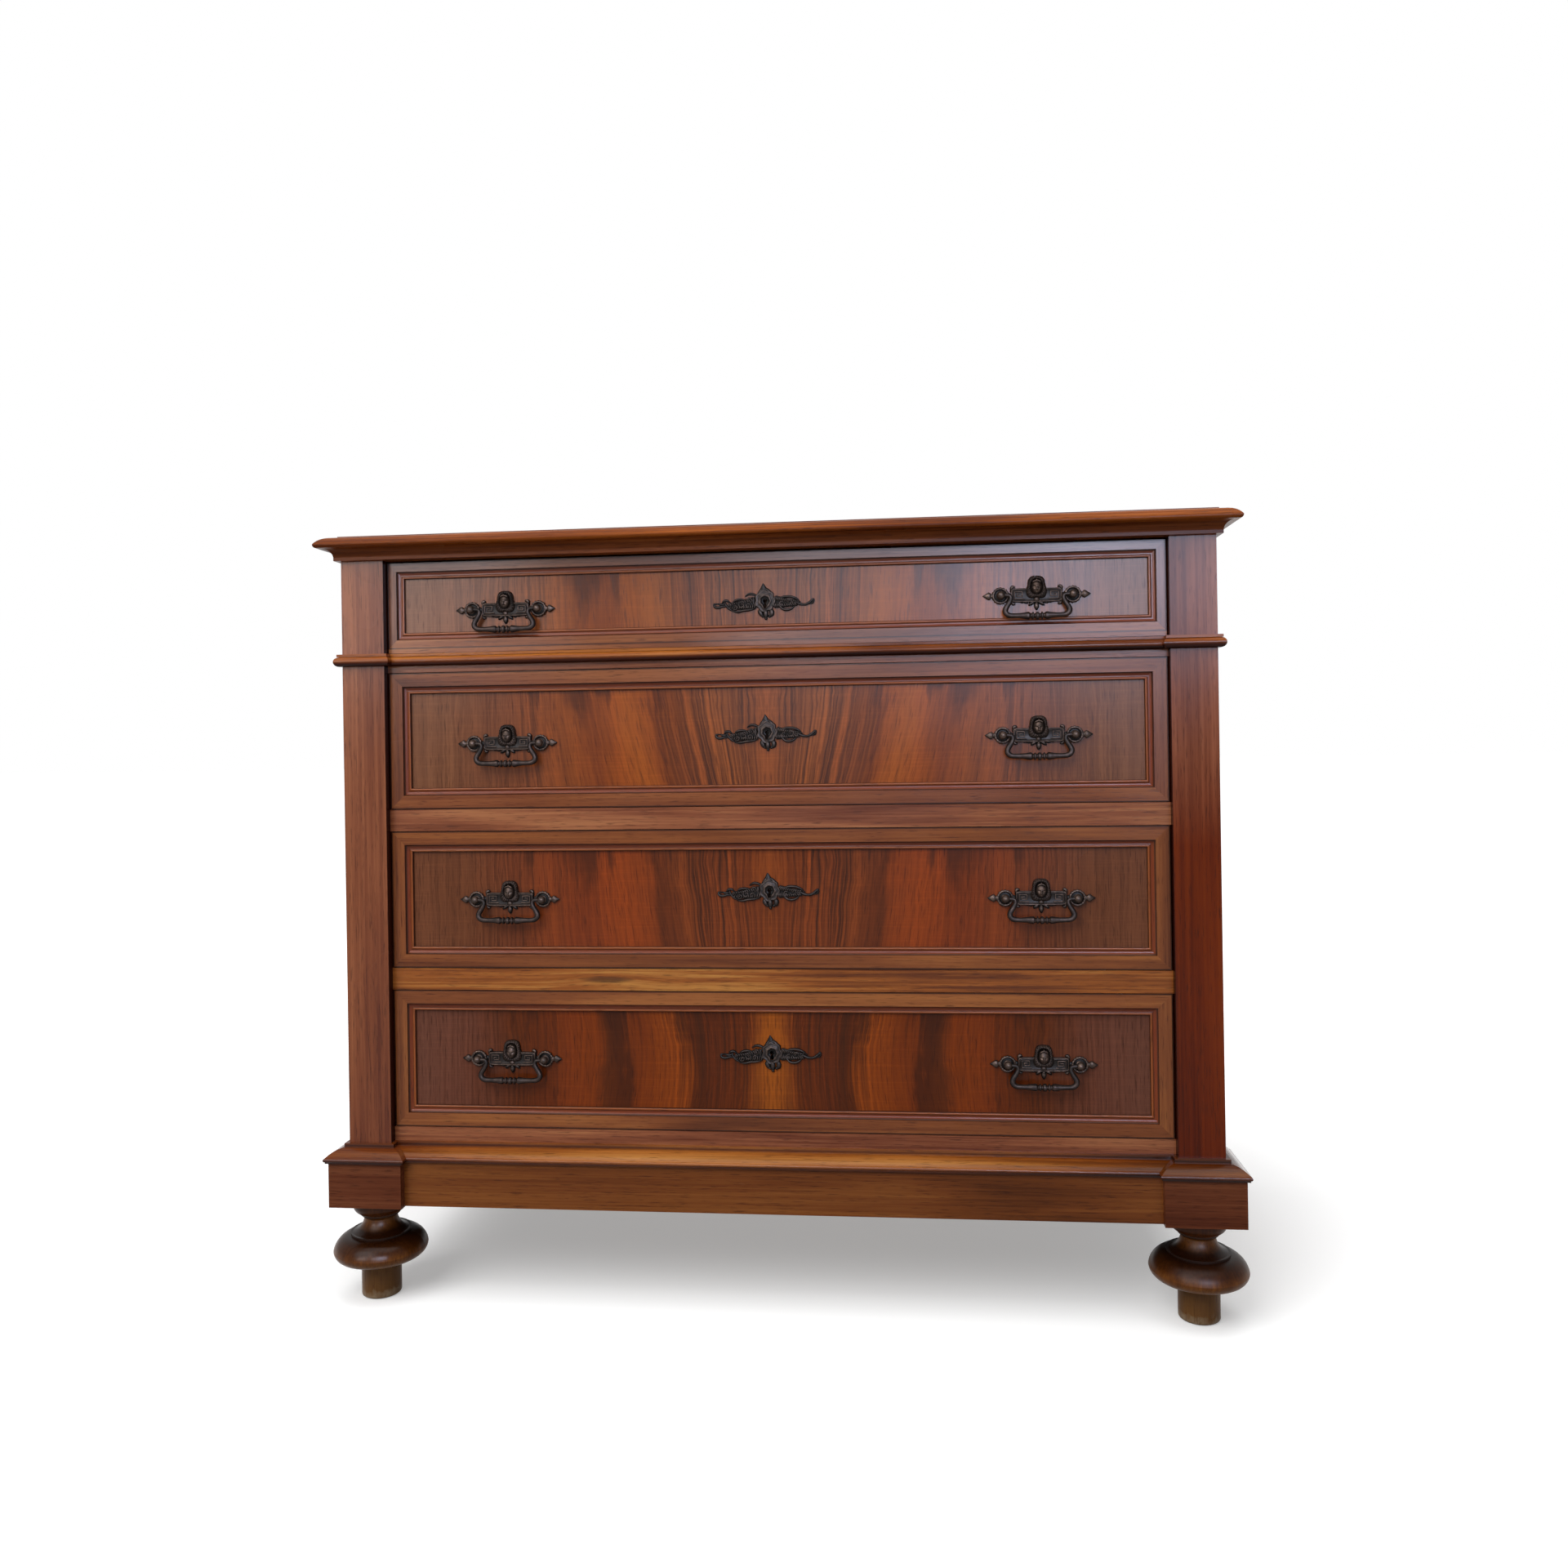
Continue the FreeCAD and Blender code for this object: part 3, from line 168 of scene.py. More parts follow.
# Rails
# Cross pieces between the drawers, dowelled into the pilasters. The third is golden sapwood, cut so
# near a branch that a small knot shows left of the middle.
def knotted_walnut():
    """Growth lines along X that climb over the knot, an ellipse in X and Z. They bulge by a bell curve of
    the distance from it, and the wood darkens inside it."""
    material, tree = blank_material("polished_walnut_rails")
    knot_x, knot_z, knot_long, knot_high = -0.211, 0.417, 0.034, 0.0045
    bell_fall, bulge, golden_reach = -0.35, -0.006, 0.05
    x, y, z = add(tree, "SeparateXYZ", {0: add(tree, "TexCoord")["Object"]})
    along = add(tree, "MapRange", {"Value": x, "From Min": knot_x, "From Max": knot_x + knot_long},
                clamp=False)[0]
    above = add(tree, "MapRange", {"Value": z, "From Min": knot_z, "From Max": knot_z + knot_high},
                clamp=False)[0]
    level = add(tree, "Math", {0: along, 1: along}, operation="MULTIPLY")[0]
    square = add(tree, "Math", {0: above, 1: above, 2: level}, operation="MULTIPLY_ADD")[0]
    shrink = add(tree, "Math", {0: square, 1: bell_fall}, operation="MULTIPLY")[0]
    bell = add(tree, "Math", {0: shrink}, operation="EXPONENT")[0]
    climb = add(tree, "Math", {0: bell, 1: bulge, 2: z}, operation="MULTIPLY_ADD")[0]
    lines = add(tree, "CombineXYZ", {0: climb, 1: y, 2: x})[0]
    broad = figure(tree, lines, 0.05, 0.5, 1.4, 3.0, 0.6)
    streaks = figure(tree, lines, 0.004, 0.2, 3.4, 4.0, 0.4)
    tone = add(tree, "Mix", {0: 0.45, 2: broad, 3: streaks})[0]
    red = add(tree, "ValToRGB", {0: tone}, zip((0.38, 0.5, 0.62), ("#5c2c18", "#80492f", "#9c6441")))[0]
    gold = add(tree, "ValToRGB", {0: tone}, zip((0.38, 0.5, 0.62), ("#5c2d0f", "#8c4e1f", "#b27a3c")))[0]
    golden = add(tree, "Math", {0: z, 1: knot_z, 2: golden_reach}, operation="COMPARE")[0]
    wood = add(tree, "Mix", {0: golden, 6: red, 7: gold}, data_type="RGBA")[2]
    core = add(tree, "MapRange", {"Value": square, "From Min": 1.3, "From Max": 0.3, "To Max": 0.7})[0]
    knotted = add(tree, "Mix", {0: core, 6: wood, 7: linear("#341a0c")}, data_type="RGBA")[2]
    finish_wood(tree, knotted, lines, 1.4, (0.2, 0.3), 0.1)
    return material


dress(knotted_walnut(), "drawer_rails")


# Waist moulding and plinth moulding
# Half round and nosed walnut strips, run off with a hollow plane, mitred round the pilasters and glued on.
# Painted shade darkens the waist moulding's underside and the plinth moulding's nose, upper hollow and ends,
# which leaves a lighter middle on the plinth moulding's slope as a painted highlight.
def crossed(tree, switch, plain, turned, third):
    """Grain along the plain axis, and along the turned one where the switch is one."""
    along = add(tree, "Mix", {0: switch, 2: plain, 3: turned})[0]
    across = add(tree, "Mix", {0: switch, 2: turned, 3: plain})[0]
    return add(tree, "CombineXYZ", {0: across, 1: third, 2: along})[0]


def lengthwise_or_sideways(tree):
    """Grain along X on the front, and along Y behind the front corners."""
    x, y, z = add(tree, "SeparateXYZ", {0: add(tree, "TexCoord")["Object"]})
    front_depth = -0.16
    sideways = add(tree, "Math", {0: y, 1: front_depth}, operation="GREATER_THAN")[0]
    return crossed(tree, sideways, x, y, z)


# Painted shade and highlight as tints: darker towards the waist moulding's underside, and on the plinth
# moulding darker at the nose, in the hollow near the top and at both ends.
waist_shade = [("waist_moulding", "Z", [(0.0, "#4a2c20"), (0.25, "#7c5844"), (0.5, "#ffffff")])]
cap_shade_and_highlight = [("plinth_moulding", "Z", [(0.0, "#806050"), (0.14, "#b8907c"), (0.3, "#f0d8c4"),
                                       (0.5, "#ffffff"), (0.72, "#e8d0b4"), (0.86, "#8a6c58"),
                                       (0.95, "#d8c4b4")]),
             ("plinth_moulding", "X", [(0.08, "#b09480"), (0.14, "#d8c4b0"), (0.34, "#ffffff"),
                                       (0.7, "#ffffff"), (0.86, "#d0bca4"), (0.92, "#a8947c")])]
dress(walnut("polished_walnut_waist", "X", 3.3, ("#5e2c10", "#88481a", "#a66428"), (0.14, 0.22), 0.07,
             lengthwise_or_sideways, waist_shade), "waist_moulding")
dress(walnut("polished_walnut_plinth_cap", "X", 7.7, ("#603715", "#8a5627", "#a87239"), (0.14, 0.22), 0.12,
             lengthwise_or_sideways, cap_shade_and_highlight), "plinth_moulding")

# Plinth
# A polished walnut board between four corner blocks, with side boards behind them and a plain board at the
# back, glued and nailed into a frame under the case.
dress(walnut("polished_walnut_plinth", "X", 5.5, ("#4e270f", "#693818", "#7e4a22"), shine=0.06),
      "plinth_front")
dress(walnut("polished_walnut_blocks", "X", 8.3, ("#4a2213", "#5c2f1c", "#6c3d26"), shine=0.04),
      "plinth_blocks")
dress(walnut("polished_walnut_plinth_sides", "Y", 5.9), "plinth_sides")


# Feet
# Buns turned from walnut on a lathe and pegged into the blocks. Painted shade darkens the top of each bun,
# its hollows and the cup under the block, and the tips are scuffed pale where they meet the floor.
def turned_walnut():
    """Upright grain, tinted by the height over the floor: painted shade darkens the top of the bun up to the
    ring, the fillet and the top of the cup, and the lower bun and the neck are left light as painted
    highlight. Dust lies on the stub and a pale scuff on its tip, both with an edge that noise makes ragged."""
    material, tree = blank_material("turned_walnut_feet")
    lines = grain_lines(tree, "Z")
    broad = figure(tree, lines, 0.03, 0.09, 1.1, 3.0, 1.0)
    streaks = figure(tree, lines, 0.004, 0.05, 4.0, 3.0, 0.4)
    tone = add(tree, "Mix", {0: 0.5, 2: broad, 3: streaks})[0]
    wood = add(tree, "ValToRGB", {0: tone}, zip((0.34, 0.5, 0.66), ("#502f10", "#664019", "#7a5125")))[0]
    height = add(tree, "SeparateXYZ", {0: add(tree, "TexCoord")["Object"]})[2]
    foot_height = 0.1275
    share = add(tree, "MapRange", {"Value": height, "From Max": foot_height})[0]
    # Painted shade and highlight by height: dark on the bun's top, under the ring, in the fillet and on the
    # cup; the lighter bands on the lower bun and the neck stand for highlights.
    shade_tint = add(tree, "ValToRGB", {0: share},
               [(0.36, "#e8e0d4"), (0.4, "#fff0d8"), (0.47, "#f0d8b4"), (0.55, "#8c7460"),
                (0.635, "#4c3c32"), (0.69, "#5a483c"), (0.76, "#f4e0c4"), (0.81, "#fff0d8"),
                (0.828, "#6a5648"), (0.86, "#c8a898"), (1.0, "#94786a")])[0]
    colour = add(tree, "Mix", {0: 1.0, 6: wood, 7: shade_tint}, data_type="RGBA", blend_type="MULTIPLY")[2]
    rag, dust_top, dust_foot, scuff_top, scuff_foot = -0.03, 0.045, 0.02, -0.004, -0.014
    ragged = figure(tree, lines, 0.008, 0.012, 8.0, 4.0)
    level = add(tree, "Math", {0: ragged, 1: rag, 2: height}, operation="MULTIPLY_ADD")[0]
    dusty = add(tree, "MapRange", {"Value": level, "From Min": dust_top, "From Max": dust_foot,
                                   "To Max": 0.5})[0]
    dulled = add(tree, "Mix", {0: dusty, 6: colour, 7: linear("#6e4d2a")}, data_type="RGBA")[2]
    scuffed = add(tree, "MapRange", {"Value": level, "From Min": scuff_top, "From Max": scuff_foot,
                                     "To Max": 0.8})[0]
    worn = add(tree, "Mix", {0: scuffed, 6: dulled, 7: linear("#8d7a62")}, data_type="RGBA")[2]
    finish_wood(tree, worn, lines, 1.1, (0.24, 0.38), 0.09)
    return material


dress(turned_walnut(), "front_feet", "rear_feet")


# Inner timber
# Pine boards, planed and left bare, now amber and soiled: runners and guides glued in the case, drawer boxes
# with their bottoms in grooves, the case floor, and five upright planks nailed to the back.
def bare_pine(name, along, shift, lines=None):
    """Sawn pine: 9 mm growth lines, amber where old, with no polish."""
    material, tree = blank_material(name)
    lines = grain_lines(tree, along) if lines is None else lines(tree)
    broad = figure(tree, lines, 0.09, 0.8, shift, 3.0, 0.5)
    streaks = figure(tree, lines, 0.009, 0.5, shift + 3.0, 3.0, 0.5)
    tone = add(tree, "Mix", {0: 0.6, 2: broad, 3: streaks})[0]
    colour = add(tree, "ValToRGB", {0: tone}, zip((0.36, 0.52, 0.64), ("#8e6036", "#b58757", "#caa274")))[0]
    grime_and_shade = figure(tree, lines, 0.12, 0.2, shift + 6.0, 4.0)
    soiled = add(tree, "MapRange", {"Value": grime_and_shade, "From Min": 0.5, "From Max": 0.75, "To Max": 0.45})[0]
    aged = add(tree, "Mix", {0: soiled, 6: colour, 7: linear("#6b4a2b")}, data_type="RGBA")[2]
    finish_wood(tree, aged, lines, shift, (0.6, 0.75), 0.3)
    return material


def planked(tree):
    """Upright grain that jumps sideways from plank to plank, so that no two back boards look alike."""
    low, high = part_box("back_boards")
    boards, jump = 5, 0.37
    x, y, z = add(tree, "SeparateXYZ", {0: add(tree, "TexCoord")["Object"]})
    place = add(tree, "MapRange", {"Value": x, "From Min": low[0], "From Max": high[0], "To Max": boards})[0]
    number = add(tree, "Math", {0: place}, operation="FLOOR")[0]
    moved = add(tree, "Math", {0: number, 1: jump, 2: x}, operation="MULTIPLY_ADD")[0]
    return add(tree, "CombineXYZ", {0: moved, 1: y, 2: z})[0]


def boxed(tree):
    """Grain along Y in a drawer's two sides and along X in its back."""
    inner_side = 0.484
    x, y, z = add(tree, "SeparateXYZ", {0: add(tree, "TexCoord")["Object"]})
    out = add(tree, "Math", {0: x}, operation="ABSOLUTE")[0]
    at_side = add(tree, "Math", {0: out, 1: inner_side}, operation="GREATER_THAN")[0]
    return crossed(tree, at_side, x, y, z)


dress(bare_pine("bare_pine_runners", "Y", 0.7), "drawer_runners", "drawer_guides")
dress(bare_pine("bare_pine_boxes", "Y", 3.9, boxed),
      *(name for name in solid if name.startswith("drawer_") and name.endswith("_box")))
dress(bare_pine("bare_pine_boards", "X", 2.7), "case_floor", "plinth_back",
      *(name for name in solid if name.startswith("drawer_") and name.endswith("_bottom")))
dress(bare_pine("bare_pine_back", "Z", 5.2, planked), "back_boards")


# Drawer fronts
# Pine boards faced with sawn walnut veneer. Two leaves cut one after the other are opened like a book
# at the middle, so the flame of the figure is mirrored; each drawer has its own pair.
def bookmatched(word, lean, bow, bands, flames, shift, shine):
    """Veneer on the front face only. The figure depends on the distance from the middle, moved round the
    flame by a lean that opens upwards and by a bow, and everywhere by slow sway and fine feathering; bands
    gives its tones out to the ends. Dark flames hang from the top edge as points, each with a middle, a half
    width and a depth. Over it run 3.5 mm veins, strong near the middle, and the fine level marks of the saw.
    Behind the veneer the board is pine, painted near black round the keyhole as the shade inside the hole."""
    material, tree = blank_material(f"walnut_veneer_drawer_{word}")
    low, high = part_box(f"drawer_{word}_front")
    x, y, z = add(tree, "SeparateXYZ", {0: add(tree, "TexCoord")["Object"]})
    out = add(tree, "Math", {0: x}, operation="ABSOLUTE")[0]
    rise = add(tree, "Math", {0: z, 1: (low[2] + high[2]) / 2}, operation="SUBTRACT")[0]
    bowed = add(tree, "Math", {0: rise, 1: bow}, operation="MULTIPLY")[0]
    slope = add(tree, "Math", {0: bowed, 1: lean}, operation="SUBTRACT")[0]
    shove = add(tree, "Math", {0: slope, 1: rise}, operation="MULTIPLY")[0]
    reach = 0.5
    bent_zone = ((0.0, "#000000"), (0.1, "#ffffff"), (0.2, "#ffffff"), (0.36, "#000000"))
    far_out = add(tree, "Math", {0: out, 1: 1 / reach}, operation="MULTIPLY")[0]
    bent = add(tree, "ValToRGB", {0: far_out}, [(place / reach, grey) for place, grey in bent_zone])[0]
    straight = add(tree, "Math", {0: shove, 1: bent, 2: out}, operation="MULTIPLY_ADD")[0]
    lines = add(tree, "CombineXYZ", {0: straight, 1: 0.0, 2: z})[0]
    sway = figure(tree, lines, 0.06, 0.12, shift, 3.0, 0.8)
    feather = figure(tree, lines, 0.006, 0.11, shift + 1.0, 3.0, 0.3)
    stray = 0.05
    swayed = add(tree, "Math", {0: sway, 1: stray, 2: straight}, operation="MULTIPLY_ADD")[0]
    ruffle = 0.032
    spot = add(tree, "Math", {0: feather, 1: ruffle, 2: swayed}, operation="MULTIPLY_ADD")[0]
    start = (stray + ruffle) / 2
    share = add(tree, "MapRange", {"Value": spot, "From Min": start, "From Max": reach + start})[0]
    tone = add(tree, "ValToRGB", {0: share}, [(place / reach, colour) for place, colour in bands])[0]
    frame_cover = 0.022
    top = high[2] - frame_cover
    burning = tone
    for middle, half, depth in flames:
        aside = add(tree, "Math", {0: spot, 1: middle + start}, operation="SUBTRACT")[0]
        off = add(tree, "Math", {0: aside}, operation="ABSOLUTE")[0]
        below = add(tree, "MapRange", {"Value": z, "From Min": top, "From Max": top - depth,
                                       "To Max": half})[0]
        inside = add(tree, "Math", {0: off, 1: below}, operation="ADD")[0]
        dark = add(tree, "MapRange", {"Value": inside, "From Min": half, "From Max": half * 0.4,
                                      "To Max": 0.7})[0]
        burning = add(tree, "Mix", {0: dark, 6: burning, 7: linear("#3b1b0d")}, data_type="RGBA")[2]
    wound = add(tree, "Math", {0: sway, 1: stray * 0.3, 2: straight}, operation="MULTIPLY_ADD")[0]
    winding = add(tree, "CombineXYZ", {0: wound, 1: 0.0, 2: z})[0]
    veins = figure(tree, winding, 0.0035, 0.3, shift + 3.0, 4.0, 0.2)
    dark_veins = add(tree, "MapRange", {"Value": veins, "From Min": 0.45, "From Max": 0.66})[0]
    zones = ((0.0, "#909090"), (0.03, "#ffffff"), (0.095, "#ffffff"), (0.14, "#888888"), (0.25, "#989898"),
             (0.31, "#d8d8d8"), (0.38, "#c8c8c8"), (0.45, "#909090"))
    zone = add(tree, "ValToRGB", {0: share}, [(place / reach, grey) for place, grey in zones])[0]
    inked = add(tree, "Math", {0: dark_veins, 1: zone}, operation="MULTIPLY")[0]
    veined = add(tree, "Mix", {0: inked, 6: burning, 7: linear("#3f1e0e")}, data_type="RGBA")[2]
    pale = linear("#c4bcb0")
    pale_veins = add(tree, "MapRange", {"Value": veins, "From Min": 0.46, "From Max": 0.34,
                                        "To Max": 0.46})[0]
    chalked = add(tree, "Math", {0: pale_veins, 1: zone}, operation="MULTIPLY")[0]
    bright = add(tree, "Mix", {0: chalked, 6: veined, 7: pale}, data_type="RGBA", blend_type="DODGE")[2]
    strokes = figure(tree, lines, 0.07, 0.0024, shift + 7.0, 2.0, 0.4)
    pale_strokes = add(tree, "MapRange", {"Value": strokes, "From Min": 0.5, "From Max": 0.7,
                                          "To Max": 0.22})[0]
    sawn = add(tree, "Mix", {0: pale_strokes, 6: bright, 7: pale}, data_type="RGBA", blend_type="DODGE")[2]
    leaf_thickness = 0.0008
    behind = add(tree, "Math", {0: y, 1: low[1] + leaf_thickness}, operation="GREATER_THAN")[0]
    # Painted shade: the pine is near black within a small box round the keyhole, for the shade inside the
    # hole.
    plate_low, plate_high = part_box(f"drawer_{word}_escutcheon")
    keyhole_wide, keyhole_high = 0.006, 0.014
    beside = add(tree, "Math", {0: x, 1: (plate_low[0] + plate_high[0]) / 2, 2: keyhole_wide},
                 operation="COMPARE")[0]
    level = add(tree, "Math", {0: z, 1: (plate_low[2] + plate_high[2]) / 2, 2: keyhole_high},
                operation="COMPARE")[0]
    keyhole_shade = add(tree, "Math", {0: beside, 1: level}, operation="MULTIPLY")[0]
    pine = add(tree, "Mix", {0: keyhole_shade, 6: linear("#a98152"), 7: linear("#0c0705")}, data_type="RGBA")[2]
    board = add(tree, "Mix", {0: behind, 6: sawn, 7: pine}, data_type="RGBA")[2]
    finish_wood(tree, board, lines, shift, (0.2, 0.28), shine)
    return material


figures = {
    "one": dict(
        lean=0.05, bow=-0.2, shift=1.0, shine=0.1, flames=((0.235, 0.03, 0.07), (0.19, 0.02, 0.06)),
        bands=((0.0, "#804822"), (0.02, "#6b3719"), (0.06, "#7c4421"), (0.1, "#723a1a"), (0.14, "#8a4a1e"),
               (0.17, "#89471c"), (0.2, "#783a17"), (0.24, "#7a3c19"), (0.27, "#864821"), (0.33, "#7b4526"),
               (0.4, "#784a31"), (0.5, "#7a543f"))),
    "two": dict(
        lean=0.22, bow=0.5, shift=4.0, shine=0.085,
        flames=((0.245, 0.03, 0.07), (0.205, 0.012, 0.05), (0.3, 0.016, 0.05)),
        bands=((0.0, "#86451e"), (0.03, "#763e1c"), (0.06, "#84461f"), (0.1, "#763b1a"), (0.128, "#6d3516"),
               (0.134, "#552711"), (0.143, "#84411a"), (0.17, "#944c1c"), (0.2, "#8c451a"), (0.23, "#723617"),
               (0.26, "#804019"), (0.3, "#783d1c"), (0.36, "#6f3d23"), (0.42, "#71452b"), (0.5, "#734931"))),
    "three": dict(
        lean=0.1, bow=0.5, shift=9.0, shine=0.07,
        flames=((0.24, 0.034, 0.08), (0.2, 0.014, 0.06), (0.31, 0.016, 0.05)),
        bands=((0.0, "#823f19"), (0.02, "#683014"), (0.05, "#773818"), (0.08, "#6a3115"), (0.11, "#713617"),
               (0.13, "#5e2b12"), (0.142, "#562710"), (0.158, "#7a3614"), (0.2, "#883b15"), (0.24, "#703014"),
               (0.28, "#773617"), (0.33, "#6a341b"), (0.4, "#653922"), (0.5, "#673d27"))),
    "four": dict(
        lean=0.0, bow=-1.5, shift=14.0, shine=0.05, flames=((0.2, 0.03, 0.1), (0.31, 0.014, 0.06)),
        bands=((0.0, "#904b17"), (0.02, "#753a15"), (0.04, "#602a0f"), (0.07, "#572610"), (0.1, "#4c210c"),
               (0.109, "#70330f"), (0.118, "#843d12"), (0.15, "#783610"), (0.172, "#6b2e0e"),
               (0.184, "#461e0b"), (0.215, "#53250d"), (0.229, "#74320e"), (0.26, "#743210"),
               (0.29, "#5e280d"), (0.34, "#58280f"), (0.4, "#61382a"), (0.5, "#613c2f"))),
}
for word, leaves in figures.items():
    dress(bookmatched(word, **leaves), f"drawer_{word}_front")


# Drawer frames
# Walnut strips with a small moulding stuck on the inner edge, mitred round each front and glued. Shade is
# painted dark into the quirk, the hollow, against the veneer and along the gap at the outer rim, and the
# redder bead is painted lighter as a highlight.
def mitred_walnut(word, flat, shift, tones, shine):
    """Grain along X in the top and bottom strips and along Z in the ends, changing over at the mitres,
    where the distance to the end of the frame equals the distance to its top or bottom. The lesser of the
    two is the way in across the strip: along it, painted shade darkens the rim, the quirk, the hollow and
    the inner edge, and the bead is painted redder and lighter, partly as a highlight."""
    material, tree = blank_material(f"polished_walnut_frame_{word}")
    low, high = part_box(f"drawer_{word}_frame")
    sill = 0.006 if word == "one" else 0.0
    middle = (low[2] + sill + high[2]) / 2
    x, y, z = add(tree, "SeparateXYZ", {0: add(tree, "TexCoord")["Object"]})
    out = add(tree, "Math", {0: x}, operation="ABSOLUTE")[0]
    to_end = add(tree, "Math", {0: high[0], 1: out}, operation="SUBTRACT")[0]
    rise = add(tree, "Math", {0: z, 1: middle}, operation="SUBTRACT")[0]
    up = add(tree, "Math", {0: rise}, operation="ABSOLUTE")[0]
    to_edge = add(tree, "Math", {0: high[2] - middle, 1: up}, operation="SUBTRACT")[0]
    upright = add(tree, "Math", {0: to_end, 1: to_edge}, operation="LESS_THAN")[0]
    lines = crossed(tree, upright, x, z, y)
    broad = figure(tree, lines, 0.05, 0.6, shift, 3.0, 0.6)
    streaks = figure(tree, lines, 0.004, 0.25, shift + 2.0, 4.0, 0.3)
    tone = add(tree, "Mix", {0: 0.32, 2: broad, 3: streaks})[0]
    colour = add(tree, "ValToRGB", {0: tone}, zip((0.38, 0.5, 0.62), tones))[0]
    inwards = add(tree, "Math", {0: to_end, 1: to_edge}, operation="MINIMUM")[0]
    quirk, moulding = 0.001, 0.0095
    place = add(tree, "MapRange", {"Value": inwards, "From Min": flat - quirk,
                                   "From Max": flat + moulding})[0]
    # Painted shade in the quirk, the hollow and against the veneer; the bead is redder and lighter, partly a
    # painted highlight.
    moulding_shade = add(tree, "ValToRGB", {0: place},
                [(0.08, "#2e1208"), (0.2, "#35160a"), (0.27, "#722e10"), (0.58, "#6c2a0e"), (0.65, "#43200f"),
                 (0.72, "#864420"), (0.9, "#8c4a22"), (0.96, "#2e1409")])[0]
    worked = add(tree, "MapRange", {"Value": place, "From Min": 0.05, "From Max": 0.1, "To Max": 0.85})[0]
    moulded = add(tree, "Mix", {0: worked, 6: colour, 7: moulding_shade}, data_type="RGBA")[2]
    # Painted shade: a dark line just inside the outer edge, for the gap between the frame and the rails and
    # pilasters.
    rim_middle, rim_half, rim_core = 0.0006, 0.0012, 0.0004
    past_rim = add(tree, "Math", {0: inwards, 1: rim_middle}, operation="SUBTRACT")[0]
    off_rim = add(tree, "Math", {0: past_rim}, operation="ABSOLUTE")[0]
    rim = add(tree, "MapRange", {"Value": off_rim, "From Min": rim_half, "From Max": rim_core,
                                 "To Max": 0.85})[0]
    rim_shaded = add(tree, "Mix", {0: rim, 6: moulded, 7: linear("#1e0c06")}, data_type="RGBA")[2]
    finish_wood(tree, rim_shaded, lines, shift, (0.18, 0.28), shine)
    return material


red_frame, pale_frame = ("#512714", "#713d22", "#88502d"), ("#592d16", "#794322", "#91582d")
narrow_flat, broad_flat = 0.0115, 0.0175
for word, flat, shift, tones, shine in (("one", narrow_flat, 6.9, pale_frame, 0.14),
                                        ("two", broad_flat, 9.2, red_frame, 0.1),
                                        ("three", broad_flat, 11.5, pale_frame, 0.1),
                                        ("four", broad_flat, 13.8, pale_frame, 0.1)):
    dress(mitred_walnut(word, flat, shift, tones, shine), f"drawer_{word}_frame")


# Locks
# Iron lock cases with their bolts, filed flat, browned and let in behind the fronts. Strokes of the file
# dent them, and rust clouds the brown.
def filed_iron():
    """Fine noise drawn out upright gives the strokes, which roughen and dent; even noise gives the rust."""
    material, tree = blank_material("filed_iron")
    lines = grain_lines(tree, "Z")
    strokes = figure(tree, lines, 0.001, 0.03, 2.0, 2.0)
    rust = figure(tree, lines, 0.02, 0.02, 6.0, 5.0)
    browned = add(tree, "ValToRGB", {0: rust}, [(0.42, "#4a4540"), (0.62, "#5d4030")])[0]
    rough = add(tree, "MapRange", {"Value": strokes, "To Min": 0.38, "To Max": 0.6})[0]
    marks = add(tree, "Bump", {"Strength": 0.15, "Distance": 0.0002, "Height": strokes})[0]
    iron = add(tree, "BsdfPrincipled", {"Base Color": browned, "Roughness": rough, "Metallic": 0.85,
                                        "Normal": marks})
    add(tree, "OutputMaterial", {0: iron[0]})
    return material


dress(filed_iron(), *(name for name in solid if name.endswith(("_lock", "_lock_bolt"))))


# Handle plates
# Cast bronze plates with a fretted bar, a hooded head, a notched ring and a ball post at each end, bud
# finials and a leafy pendant. They were dipped dark, and bolted through the front with studs and nuts.
def cast_bronze(name, tones):
    """Dark dipped bronze, sand cast: the tones go by the height over the drawer face, up to the boldest
    ornament, with darker clouds and a fine sand grain."""
    material, tree = blank_material(name)
    boldest, cloud_size, sand_size = 0.015, 0.006, 0.001
    place = add(tree, "TexCoord")["Object"]
    depth = add(tree, "SeparateXYZ", {0: place})[1]
    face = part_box("drawer_two_front")[0][1]
    height = add(tree, "MapRange", {"Value": depth, "From Min": face, "From Max": face - boldest})[0]
    cloud = add(tree, "TexNoise", {"Vector": place, "Scale": 1 / cloud_size, "Detail": 4.0,
                                   "Roughness": 0.6})[0]
    tone = add(tree, "ValToRGB", {0: height}, tones)[0]
    shade = add(tree, "MapRange", {"Value": cloud, "From Min": 0.35, "From Max": 0.65, "To Max": 0.75})[0]
    colour = add(tree, "Mix", {0: shade, 6: tone, 7: linear("#0a0807")}, data_type="RGBA")[2]
    sand = add(tree, "TexNoise", {"Vector": place, "Scale": 1 / sand_size, "Detail": 2.0})[0]
    rough = add(tree, "MapRange", {"Value": cloud, "From Min": 0.3, "From Max": 0.7, "To Min": 0.34,
                                   "To Max": 0.5})[0]
    grit = add(tree, "Bump", {"Strength": 0.25, "Distance": 0.0002, "Height": sand})[0]
    metal = add(tree, "BsdfPrincipled", {"Base Color": colour, "Roughness": rough, "Metallic": 0.7,
                                         "Specular IOR Level": 0.25, "Normal": grit})
    add(tree, "OutputMaterial", {0: metal[0]})
    return material


# Near black in the hollows; lighter brown on the low ornament and again on the bold head and balls, partly
# rubbed bronze and partly painted highlight.
bronze = cast_bronze("dark_cast_bronze", [(0.0, "#040303"), (0.11, "#0a0807"), (0.17, "#231a16"),
                                          (0.23, "#46372f"), (0.32, "#2c221e"), (0.6, "#46372f"),
                                          (1.0, "#3c2f28")])


